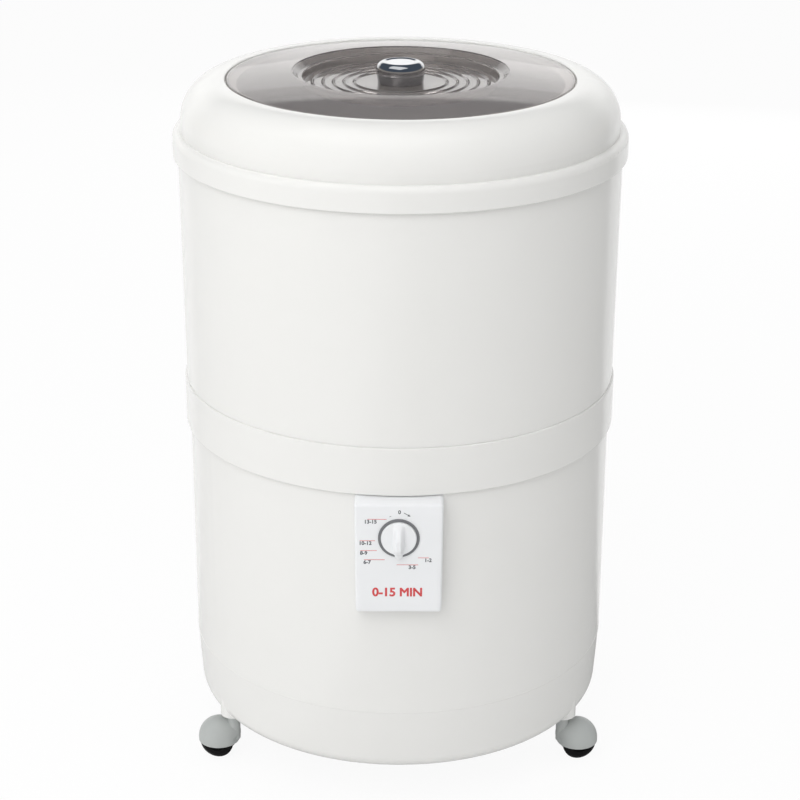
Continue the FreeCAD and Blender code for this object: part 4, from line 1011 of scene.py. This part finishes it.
    def knob(self) -> None:
        """Build the timer knob: a disc with an upright grip bar that ends in the pointer.

        The disc is a grid whose lines run along the bar. Its height is the skirt's, less a quarter round at
        the rim, plus the bar's height times one soft step across the flanks and one along the upper end. The
        bar falls by a third soft step to the pointer, a slab that narrows to its tip below the disc.
        """
        radius = self.knob_radius
        flank = self.bar_half + self.bar_flank * np.linspace(-0.5, 0.5, 11)
        beside = np.sin(np.linspace(math.asin(flank[-1] / radius), math.pi / 2, 22))[1:]
        across = np.concatenate([np.linspace(0.0, flank[0], 4)[:-1], flank, radius * beside])
        across = np.concatenate([-across[:0:-1], across])[:, None]
        share = np.sin(np.linspace(-math.pi / 2, math.pi / 2, 61))
        along = share * np.sqrt(np.clip(radius ** 2 - across ** 2, 0.0, None))
        across = across + 0 * along
        inward = np.clip(1 - (radius - np.hypot(across, along)) / self.knob_edge, 0.0, 1.0)
        skirt = self.knob_skirt - self.knob_edge * (1 - np.sqrt(1 - inward ** 2))
        upright = eased((self.bar_half + self.bar_flank / 2 - np.abs(across)) / self.bar_flank)
        end = eased((radius - along) / self.bar_end)
        foot = eased((radius + along) / self.bar_foot)
        bar = self.pointer_stand + (self.knob_depth - self.pointer_stand) * foot
        height = skirt + (bar - self.knob_skirt) * upright * end
        top = np.stack([across, along, height], axis=-1)
        foot = top * (1.0, 1.0, 0.0)
        walls = [Patch(np.stack([top[:, side], foot[:, side]]), columns_close=False) for side in (0, -1)]
        disc = [Patch(top, columns_close=False), Patch(foot, columns_close=False), *walls]
        shoulder = self.pointer_length - self.pointer
        start = -radius * self.pointer_start
        outline = rounded([
            (-self.bar_half, start), (-self.bar_half, shoulder, self.pointer_shoulder),
            (0.0, -self.pointer, self.pointer_tip), (self.bar_half, shoulder, self.pointer_shoulder),
            (self.bar_half, start)])
        quarter = np.linspace(0.0, math.pi / 2, 7)
        low = self.ring_stand + self.knob_skirt / 2
        rise = self.pointer_stand - self.pointer_edge * (1 - np.sin(quarter))
        steps = np.concatenate([[0.0], self.pointer_edge * (1 - np.cos(quarter))])
        tip = slab(outline, steps, np.concatenate([[low], rise]))
        patches = [place(patch, self.on_shaft) for patch in (*disc, tip)]
        make_piece("timer_knob", patches, Look.PANEL, "timer", ["timer_knob"])

    def plate(self, name: str, outline: Sequence[Corner], look: Look) -> None:
        """Print a flat shape on the panel's front.

        Args:
            name: the print's name.
            outline: its outline, anticlockwise, right of and above the dial's middle.
            look: its ink.
        """
        patch = slab(rounded(outline), (0.0, 0.0), (0.0, self.print_height))
        make_piece(name, [place(patch, self.on_panel)], look, "cabinet")

    def rule(self, name: str, start: float, end: float, level: float) -> None:
        """Print a level red rule.

        Args:
            name: the print's name.
            start: its left end.
            end: its right end.
            level: its height over the dial's middle.
        """
        low, high = level - self.rule_width / 2, level + self.rule_width / 2
        self.plate(name, [(start, low), (end, low), (end, high), (start, high)], Look.RED_PRINT)

    def words(self, name: str, text: str, left: float, top: float, height: float, look: Look) -> None:
        """Print numbers or a unit.

        Args:
            name: the print's name.
            text: what it says.
            left: its left end, right of the dial's middle.
            top: its upper edge, over the dial's middle.
            height: height of its figures.
            look: its ink.
        """
        curve = bpy.data.curves.new(name, "FONT")
        curve.body = text
        curve.size = height / self.figure_share
        curve.bevel_depth = self.bold * height / self.digit
        curve.bevel_resolution = 0
        letters = bpy.data.objects.new(name, curve)
        bpy.context.scene.collection.objects.link(letters)
        bpy.context.view_layer.update()
        mesh = bpy.data.meshes.new_from_object(letters.evaluated_get(bpy.context.evaluated_depsgraph_get()))
        bpy.data.objects.remove(letters)
        flat = Matrix.Diagonal((1.0, 1.0, self.print_height / curve.bevel_depth / 2, 1.0))
        bpy.data.curves.remove(curve)
        corner = Matrix.Translation((left, top - height, self.print_height / 2))
        mesh.transform(self.on_panel @ corner @ flat)
        finish_piece(name, mesh, look, "cabinet")

    def prints(self) -> None:
        """Print the dial's marks, its zero, the arrow for the way to turn, and the span in minutes."""
        for mark in self.marks:
            self.rule(f"rule_{mark.numbers}", mark.start, mark.end, mark.level)
            top = mark.level - self.rule_width
            self.words(f"minutes_{mark.numbers}", mark.numbers, mark.numbers_at, top, self.digit,
                       Look.DARK_PRINT)
        self.words("minutes_0", "0", *self.zero_at, self.digit, Look.DARK_PRINT)
        self.words("span", "0-15 MIN", *self.span_at, self.span_digit, Look.RED_PRINT)
        at, level = self.tick_at
        left, right, rise = at - self.tick, at + self.tick, self.tick / 2
        self.plate("tick", [(left, level - rise), (right, level), (right, level + rise), (left, level)],
                   Look.DARK_PRINT)
        self.arrow()

    def arrow(self) -> None:
        """Print the arrow as a thin line from its start to its head's back, and a head of three corners."""
        start, end = np.array(self.arrow_start), np.array(self.arrow_end)
        along = (end - start) / np.linalg.norm(end - start)
        aside = np.array([-along[1], along[0]])
        neck = end - along * self.arrow_length
        thin, wide = aside * self.arrow_line, aside * self.arrow_head
        self.plate("arrow_line", [start - thin, neck - thin, neck + thin, start + thin], Look.DARK_PRINT)
        self.plate("arrow_head", [neck - wide, end, neck + wide], Look.DARK_PRINT)

    def build(self) -> None:
        """Build the panel's pieces."""
        self.body()
        self.ring()
        self.knob()
        self.prints()


@dataclass
class Caster:
    """One hooded caster with its pair of wheels.

    Attributes:
        side: where it stands.
        dome: radius of the hood's dome.
        hood_wall: thickness of the hood.
        hood_lift: height of the dome's middle over the axle.
        rim: height of the hood's rim.
        lip: half the height of the rim's lip.
        lip_stand: how far the lip stands out.
        lip_round: radius of the lip's edges.
        neck: radius of the swivel neck.
        neck_inset: how much thinner the column in the neck is.
        neck_gap: gap between the column and the base.
        neck_edge: radius of the column's upper edge.
        shoulder: height over which the neck comes out of the dome.
        foot: height over the rim at which it starts to go back in.
        tuck: how far it goes back in, as a share of the way.
        web: width of the web between the wheels.
        boss: radius of the web round the axle.
        wheel_width: width of one wheel.
        wheel_gap: gap between the web and a wheel.
        wheel_bevel: bevel of the tread's inner edge.
        grooves: edges of the two grooves in the tread, as shares of the wheel's width.
        groove_depth: depth of a groove.
        groove_slant: slant of a groove's sides.
        tread_fall: how much lower the tread is outside its grooves.
        shoulder_fall: how much smaller the wheel's outer face is than its tread.
        shoulder_round: radius of that face's edge.
        hub: radius of a wheel's sunk hub.
        hub_slant: slant of the hub's side.
        hub_depth: depth of the hub.
        hub_round: radius of the hub's edges.
        bore: radius of a wheel's bore.
    """

    side: Side
    dome: float = 22.0 * MM
    hood_wall: float = 1.6 * MM
    hood_lift: float = 3.0 * MM
    rim: float = 17.5 * MM
    lip: float = 0.6 * MM
    lip_stand: float = 0.24 * MM
    lip_round: float = 0.54 * MM
    neck: float = 6.8 * MM
    neck_inset: float = 0.3 * MM
    neck_gap: float = 0.2 * MM
    neck_edge: float = 0.8 * MM
    shoulder: float = 13 * MM
    foot: float = 9 * MM
    tuck: float = 0.2
    web: float = 12.0 * MM
    boss: float = 6.5 * MM
    wheel_width: float = 7.0 * MM
    wheel_gap: float = 0.4 * MM
    wheel_bevel: float = 0.6 * MM
    grooves: tuple[float, ...] = (0.18, 0.28, 0.42, 0.52)
    groove_depth: float = 0.5 * MM
    groove_slant: float = 0.2 * MM
    tread_fall: float = 0.1 * MM
    shoulder_fall: float = 4.5 * MM
    shoulder_round: float = 1.6 * MM
    hub: float = 8.0 * MM
    hub_slant: float = 1.0 * MM
    hub_depth: float = 1.2 * MM
    hub_round: float = 0.4 * MM
    bore: float = 3.2 * MM

    def __post_init__(self) -> None:
        """Take the caster's place and sizes from the frame."""
        name = self.side.value
        joints = {joint["name"]: joint for joint in frame["joints"]}
        stem = Vector(joints[f"caster_swivel_{name}"]["pos_m"])
        self.axle = Vector(joints[f"wheel_roll_{name}"]["pos_m"])
        trail = self.axle - stem
        self.trail = math.hypot(trail.x, trail.y)
        self.top = stem.z
        self.wheel = self.axle.z
        turn = Matrix.Rotation(math.atan2(trail.y, trail.x), 4, "Z")
        self.stand = Matrix.Translation((stem.x, stem.y, 0.0)) @ turn
        self.on_axle = self.stand @ Matrix.Translation((self.trail, 0.0, self.wheel))

    def skin(self) -> Patch:
        """The hood's outside and inside as one closed surface.

        Each level goes round two circles, the dome's and the neck's, as a belt goes round two wheels: the
        point that faces an angle lies on the circle that reaches further that way. The neck's circle grows
        and slides out of the dome by a quarter round, and goes a little way back in above the rim. The
        inside is a plain dome.

        Returns:
            The surface, round the swivel's axis, with the dome towards positive x.
        """
        middle = self.wheel + self.hood_lift
        drop = middle - self.rim
        inside = self.dome - self.hood_wall
        outer = np.linspace(math.pi / 2, -math.asin(drop / self.dome), 60)[:, None]
        inner = np.linspace(-math.asin(drop / inside), math.pi / 2, 40)[:, None]
        facing = np.arange(120) * TURN / 120
        level = middle + self.dome * np.sin(outer)
        ring = self.dome * np.cos(outer)
        share = np.clip((level[0] - level) / self.shoulder, 0.0, 1.0)
        out = np.sqrt(1 - (1 - share) ** 2)
        back = 1 - self.tuck * (1 - np.clip((level - self.rim) / self.foot, 0.0, 1.0))
        slide = self.trail * (1 - out * back)
        neck = self.neck * out
        domed = self.trail * np.cos(facing) + ring > slide * np.cos(facing) + neck
        centre = np.where(domed, self.trail, slide)
        reach = np.where(domed, ring, neck)
        level = np.concatenate([level, middle + inside * np.sin(inner)]) + 0 * facing
        centre = np.concatenate([centre, self.trail + 0 * inner * facing])
        reach = np.concatenate([reach, inside * np.cos(inner) + 0 * facing])
        return Patch(np.stack([centre + reach * np.cos(facing), reach * np.sin(facing), level], axis=-1))

    def hood(self) -> None:
        """Build the dome and its neck with a lip at the rim, and the web that holds the axle."""
        middle = self.wheel + self.hood_lift
        drop = middle - self.rim
        inside = self.dome - self.hood_wall
        rim = math.sqrt(self.dome ** 2 - drop ** 2)
        back, out = rim - self.hood_wall, rim + self.lip_stand
        lip_top = self.rim + 2 * self.lip
        edge = rounded([(back, self.rim), (out, self.rim, self.lip_round), (out, lip_top, self.lip_round),
                        (back, lip_top)], steps=5)
        lip = place(turned(edge, steps=96), self.stand @ Matrix.Translation((self.trail, 0, 0)))
        column = self.neck - self.neck_inset
        top = self.top - self.neck_gap
        neck = turned(rounded([(0.0, middle), (column, middle), (column, top, self.neck_edge), (0.0, top)]),
                      steps=64)
        flat = np.linspace(-math.asin(drop / inside), math.pi + math.asin(drop / inside), 41)
        plate = inside * np.stack([np.cos(flat), np.sin(flat)], axis=1) + (0.0, self.hood_lift)
        ring = np.arange(48) * TURN / 48
        boss = self.boss * np.stack([np.cos(ring), np.sin(ring)], axis=1)
        upright = self.on_axle @ Matrix.Rotation(math.radians(90), 4, "X")
        levels = (-self.web / 2, self.web / 2)
        webs = [place(slab(outline, (0.0, 0.0), levels), upright) for outline in (plate, boss)]
        patches = [place(self.skin(), self.stand), lip, place(neck, self.stand), *webs]
        make_piece(f"caster_hood_{self.side.value}", patches, Look.CASTER, f"caster_{self.side.value}",
                   [f"caster_hood_{self.side.value}"])

    def wheels(self) -> None:
        """Build the pair of wheels, each turned with a grooved tread and a sunk hub."""
        near = self.web / 2 + self.wheel_gap
        far = near + self.wheel_width
        tread = self.wheel
        groove = tread - self.groove_depth
        slant = self.groove_slant
        sunk = far - self.hub_depth
        places = near + self.wheel_width * np.array(self.grooves)
        outline = rounded([
            (self.bore, near), (tread - self.wheel_bevel, near), (tread, near + self.wheel_bevel),
            (tread, places[0]), (groove, places[0] + slant), (groove, places[1] - slant),
            (tread, places[1]), (tread, places[2]), (groove, places[2] + slant),
            (groove, places[3] - slant), (tread - self.tread_fall, places[3]),
            (tread - self.shoulder_fall, far, self.shoulder_round),
            (self.hub + self.hub_slant, far, self.hub_round), (self.hub, sunk, self.hub_round),
            (self.bore, sunk)], steps=6)
        upright = self.on_axle @ Matrix.Rotation(math.radians(90), 4, "X")
        sides = [place(turned(outline * (1.0, hand), steps=96), upright) for hand in (1.0, -1.0)]
        make_piece(f"caster_wheel_{self.side.value}", sides, Look.WHEEL, f"wheels_{self.side.value}",
                   [f"caster_wheel_{self.side.value}"])

    def build(self) -> None:
        """Build the caster's pieces."""
        self.hood()
        self.wheels()


@dataclass
class Pulsator:
    """The finned disc on the tub's floor.

    Attributes:
        fins: how many fins it has.
        fin_start: radius at which a fin starts.
        fin_root: height and half width of a fin at its start.
        fin_tip: height and half width of a fin at its end.
        fin_foot: how much wider a fin's foot is.
        hollow: how softly fins, hub and face run into each other.
        plate: thickness of the disc, and how much its face rises to the hub.
        edge: radius of the disc's edges.
        border: width of the flat border.
        hub_radius: radius of the hub.
        hub_soft: width of the hollow round the hub.
        bore: radius of the shaft's hole.
        head_room: radius of the hollow for the screw's head.
        head_depth: depth of that hollow.
        hole: radius of the screw's hole.
    """

    fins: int = 4
    fin_start: float = 15 * MM
    fin_root: float = 15 * MM
    fin_tip: float = 7 * MM
    fin_foot: float = 1.35
    hollow: float = 4 * MM
    plate: float = 5 * MM
    edge: float = 1.6 * MM
    border: float = 4 * MM
    hub_radius: float = 17 * MM
    hub_soft: float = 7 * MM
    bore: float = 8.1 * MM
    head_room: float = 8.0 * MM
    head_depth: float = 4 * MM
    hole: float = 3.1 * MM

    def __post_init__(self) -> None:
        """Take the disc's place from the frame."""
        low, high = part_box("pulsator")
        self.radius = high.x
        self.bottom = low.z
        self.top = low.z + self.plate
        self.hub_top = high.z

    def relief(self, radius: np.ndarray, angle: np.ndarray) -> np.ndarray:
        """Height of the disc's face over its border.

        The face rises straight to the hub, which stands on it by a soft step. A fin is a cosine wave across,
        as high as it is half wide, that narrows outwards and ends in a quarter circle. Where they meet, the
        height is the mean of both plus half the root of their squared difference and the squared hollow.

        Args:
            radius: the points' radii.
            angle: their angles.

        Returns:
            The heights.
        """
        reach = self.radius - 2 * self.fin_tip
        share = np.clip((radius - self.fin_start) / (reach - self.fin_start), 0.0, 1.0)
        half = self.fin_root + (self.fin_tip - self.fin_root) * share
        end = np.sqrt(1 - np.clip((radius - reach) / self.fin_tip, 0.0, 1.0) ** 2)
        pitch = TURN / self.fins
        aside = radius * np.sin(angle % pitch - pitch / 2) / (half * self.fin_foot)
        wave = end * (0.5 + 0.5 * np.cos(math.pi * np.clip(aside, -1.0, 1.0)))
        slope = self.plate / (self.radius - self.border - self.hub_radius)
        face = slope * (self.radius - self.border - np.maximum(radius, self.hub_radius))
        stand = self.hub_top - self.top - self.plate
        face = face + stand * eased((self.hub_radius + self.hub_soft - radius) / self.hub_soft)
        fin = half * wave
        height = (face + fin + np.sqrt((face - fin) ** 2 + (self.hollow * wave) ** 2)) / 2
        return np.minimum(height, self.hub_top - self.top)

    def build(self) -> None:
        """Build the disc as rings from its bore round its edge and over its face to the screw's seat."""
        angle = np.arange(288) * TURN / 288
        under = rounded([
            (self.bore, self.bottom), (self.radius, self.bottom, self.edge),
            (self.radius, self.top, self.edge), (self.radius - self.border, self.top)], closed=False)
        face = np.linspace(self.radius - self.border, self.head_room, 96)[1:]
        seat = self.hub_top - self.head_depth
        shaft_top = seat - self.plate
        inner = np.array([(self.head_room, seat), (self.hole, seat), (self.hole, shaft_top),
                          (self.bore, shaft_top)])
        radius = np.concatenate([under[:, 0], face, inner[:, 0]])[:, None]
        height = np.concatenate([under[:, 1:] + 0 * angle, self.top + self.relief(face[:, None], angle),
                                 inner[:, 1:] + 0 * angle])
        points = np.stack([radius * np.cos(angle), radius * np.sin(angle), height], axis=-1)
        make_piece("pulsator", [Patch(points, rows_close=True)], Look.PULSATOR, "pulsator", ["pulsator"])


@dataclass(frozen=True)
class Lamp:
    """A soft lamp that faces the machine.

    Attributes:
        name: the lamp's name.
        at: its place.
        power: its power in watts.
        width: its width in metres.
        height: its height in metres.
        mirrored: whether bright pieces mirror it.
    """

    name: str
    at: Colour
    power: float
    width: float
    height: float
    mirrored: bool = False

    def build(self, aim: Vector) -> None:
        """Set up the lamp.

        Args:
            aim: the point that it faces.
        """
        data = bpy.data.lights.new(self.name, "AREA")
        data.shape = "RECTANGLE"
        data.size = self.width
        data.size_y = self.height
        data.energy = self.power
        obj = bpy.data.objects.new(self.name, data)
        obj.location = self.at
        obj.rotation_euler = (aim - Vector(self.at)).to_track_quat("-Z", "Y").to_euler()
        obj.visible_glossy = self.mirrored
        bpy.context.scene.collection.objects.link(obj)


@dataclass
class Studio:
    """Camera, lamps, world and floor.

    Attributes:
        eye: the camera's place.
        tilt: its angle from straight down, in degrees.
        roll: its roll about its own view, in degrees.
        lens: its focal length in millimetres.
        world: brightness of the light from all round.
        room: colour of the room in front and above, as bright pieces mirror it.
        near: colour of the room's lower part in front, as bright pieces mirror it.
        behind: how far back a mirrored ray leads where the room behind starts and is full.
        low_edge: how far up it leads where the white low part behind starts and is full.
        near_edge: how far up it leads where the lower part in front starts and is full.
        floor_white: share of the floor that shows as plain white.
        floor_mirrored: brightness of the floor on the right and in front, as bright pieces mirror it.
        floor_left: brightness of the floor on the left, as bright pieces mirror it.
        floor_behind: brightness of the floor behind, as bright pieces mirror it.
        floor_reach: how far the floor goes to the front and the back.
        floor_spread: how far it goes to either side.
        floor_gap: gap between the floor and the wheels.
        stand_half: half the width of the floor's sheet under the machine.
        stand_back: where the sheet behind starts.
        sheet_colour: colour of the floor's sheets.
        sheet_roughness: their roughness.
        aim: the point that the lamps face.
        lamps: the lamps.
    """

    eye: Colour = (0.0006, -2.0681, 1.2043)
    tilt: float = 68.114
    roll: float = 0.235
    lens: float = 94.25
    world: float = 0.62
    room: Colour = (0.075, 0.095, 0.125)
    near: Colour = (0.36, 0.33, 0.30)
    behind: Range = (0.62, 0.78)
    low_edge: Range = (0.415, 0.395)
    near_edge: Range = (0.30, 0.08)
    floor_white: float = 0.93
    floor_mirrored: float = 0.35
    floor_left: float = 0.75
    floor_behind: float = 1.0
    floor_reach: float = 12.0
    floor_spread: float = 12.5
    floor_gap: float = 0.2 * MM
    stand_half: float = 0.2
    stand_back: float = 0.1
    sheet_colour: Colour = (0.9, 0.9, 0.9)
    sheet_roughness: float = 0.9
    aim: Vector = field(default_factory=lambda: Vector((0.0, 0.0, 0.45)))
    lamps: tuple[Lamp, ...] = (
        Lamp("key", (-0.85, -2.05, 2.2), 28.5, 1.8, 1.8),
        Lamp("top", (-0.35, -0.4, 2.9), 11.0, 2.2, 1.8, mirrored=True),
        Lamp("side", (-2.6, -0.3, 0.8), 7.0, 1.2, 1.8),
        Lamp("back", (0.0, 2.6, 1.35), 1.5, 3.0, 0.55, mirrored=True),
        Lamp("rear", (0.5, 2.8, 0.75), 9.0, 1.8, 1.2))

    def camera(self) -> None:
        """Set up the camera that sees the machine as the photograph does."""
        data = bpy.data.cameras.new("camera")
        data.lens = self.lens
        data.sensor_width = 36.0
        obj = bpy.data.objects.new("camera", data)
        tilt = Matrix.Rotation(math.radians(self.tilt), 4, "X")
        roll = Matrix.Rotation(math.radians(self.roll), 4, "Z")
        obj.matrix_world = Matrix.Translation(self.eye) @ tilt @ roll
        bpy.context.scene.collection.objects.link(obj)
        bpy.context.scene.camera = obj

    def seen(self, tree: bpy.types.NodeTree) -> bpy.types.NodeSocket:
        """Whether a ray comes from the eye, a mirror or a clear piece.

        Args:
            tree: the nodes to add to.

        Returns:
            1 for such a ray, otherwise 0.
        """
        path = tree.nodes.new("ShaderNodeLightPath")
        either = path.outputs["Is Camera Ray"]
        for kind in ("Is Glossy Ray", "Is Transmission Ray"):
            node = tree.nodes.new("ShaderNodeMath")
            node.operation = "MAXIMUM"
            tree.links.new(either, node.inputs[0])
            tree.links.new(path.outputs[kind], node.inputs[1])
            either = node.outputs[0]
        return either

    def surroundings(self) -> None:
        """Make the world white to the eye and low behind the machine, and dimmer as a light."""
        world = bpy.data.worlds.new("studio")
        world.use_nodes = True
        bpy.context.scene.world = world
        tree = world.node_tree
        heading = tree.nodes.new("ShaderNodeSeparateXYZ")
        tree.links.new(tree.nodes.new("ShaderNodeTexCoord").outputs["Generated"], heading.inputs[0])
        low_room = mixed(tree, ramp(tree, heading.outputs["Z"], *self.low_edge), self.room, WHITE)
        near_room = mixed(tree, ramp(tree, heading.outputs["Z"], *self.near_edge), self.room, self.near)
        mirrored = mixed(tree, ramp(tree, heading.outputs["Y"], *self.behind), near_room, low_room)
        path = tree.nodes.new("ShaderNodeLightPath")
        colour = mixed(tree, path.outputs["Is Glossy Ray"], (self.world,) * 3, mirrored)
        for kind in ("Is Transmission Ray", "Is Camera Ray"):
            colour = mixed(tree, path.outputs[kind], colour, WHITE)
        tree.links.new(colour, tree.nodes["Background"].inputs["Color"])

    def ground(self, name: str, corners: Sequence[Corner], mirrored: float) -> None:
        """Lay a flat white sheet that keeps a soft shadow.

        Args:
            name: its name.
            corners: its corners, anticlockwise from above.
            mirrored: how bright it looks in a mirror.
        """
        mesh = bpy.data.meshes.new(name)
        points = [(*corner, -self.floor_gap) for corner in corners]
        mesh.from_pydata(points, [], [tuple(range(len(corners)))])
        obj = bpy.data.objects.new(name, mesh)
        bpy.context.scene.collection.objects.link(obj)
        recipe = Recipe(name)
        recipe.constant("Base Color", self.sheet_colour)
        recipe.constant("Roughness", self.sheet_roughness)
        recipe.constant("Specular IOR Level", 0.0)
        tree = recipe.tree
        glow = tree.nodes.new("ShaderNodeEmission")
        path = tree.nodes.new("ShaderNodeLightPath")
        colour = mixed(tree, path.outputs["Is Camera Ray"], (mirrored,) * 3, WHITE)
        tree.links.new(colour, glow.inputs["Color"])
        mix = tree.nodes.new("ShaderNodeMixShader")
        tree.links.new(ramp(tree, self.seen(tree), 0.0, 1.0, 0.0, self.floor_white), mix.inputs[0])
        tree.links.new(recipe.shader.outputs[0], mix.inputs[1])
        tree.links.new(glow.outputs[0], mix.inputs[2])
        tree.links.new(mix.outputs[0], recipe.output.inputs["Surface"])
        mesh.materials.append(recipe.material)

    def floor(self) -> None:
        """Lay the floor: a bright sheet that widens behind the machine, and dimmer ground beside it."""
        far, spread = self.floor_reach, self.floor_spread
        near, start = self.stand_half, self.stand_back
        self.ground("floor_behind", [(-near, start), (near, start), (spread, far), (-spread, far)],
                    self.floor_behind)
        self.ground("floor_left", [(-near, start), (-spread, far), (-spread, -far), (-near, -far)],
                    self.floor_left)
        self.ground("floor_right", [(near, start), (near, -far), (spread, -far), (spread, far)],
                    self.floor_mirrored)
        self.ground("floor_front", [(-near, -far), (near, -far), (near, start), (-near, start)],
                    self.floor_mirrored)

    def build(self) -> None:
        """Set up the studio."""
        bpy.context.scene.view_settings.view_transform = "Standard"
        self.camera()
        self.surroundings()
        self.floor()
        for lamp in self.lamps:
            lamp.build(self.aim)
        LOG.info("studio set up with %d lamps", len(self.lamps))


def main() -> None:
    """Dress the machine and light it."""
    logging.basicConfig(level=logging.INFO, format="%(message)s")
    casters = [Caster(side) for side in Side]
    for part in (Casing(), Lid(), ControlPanel(), *casters, Pulsator(), Studio()):
        part.build()


if __name__ == "__main__":
    main()
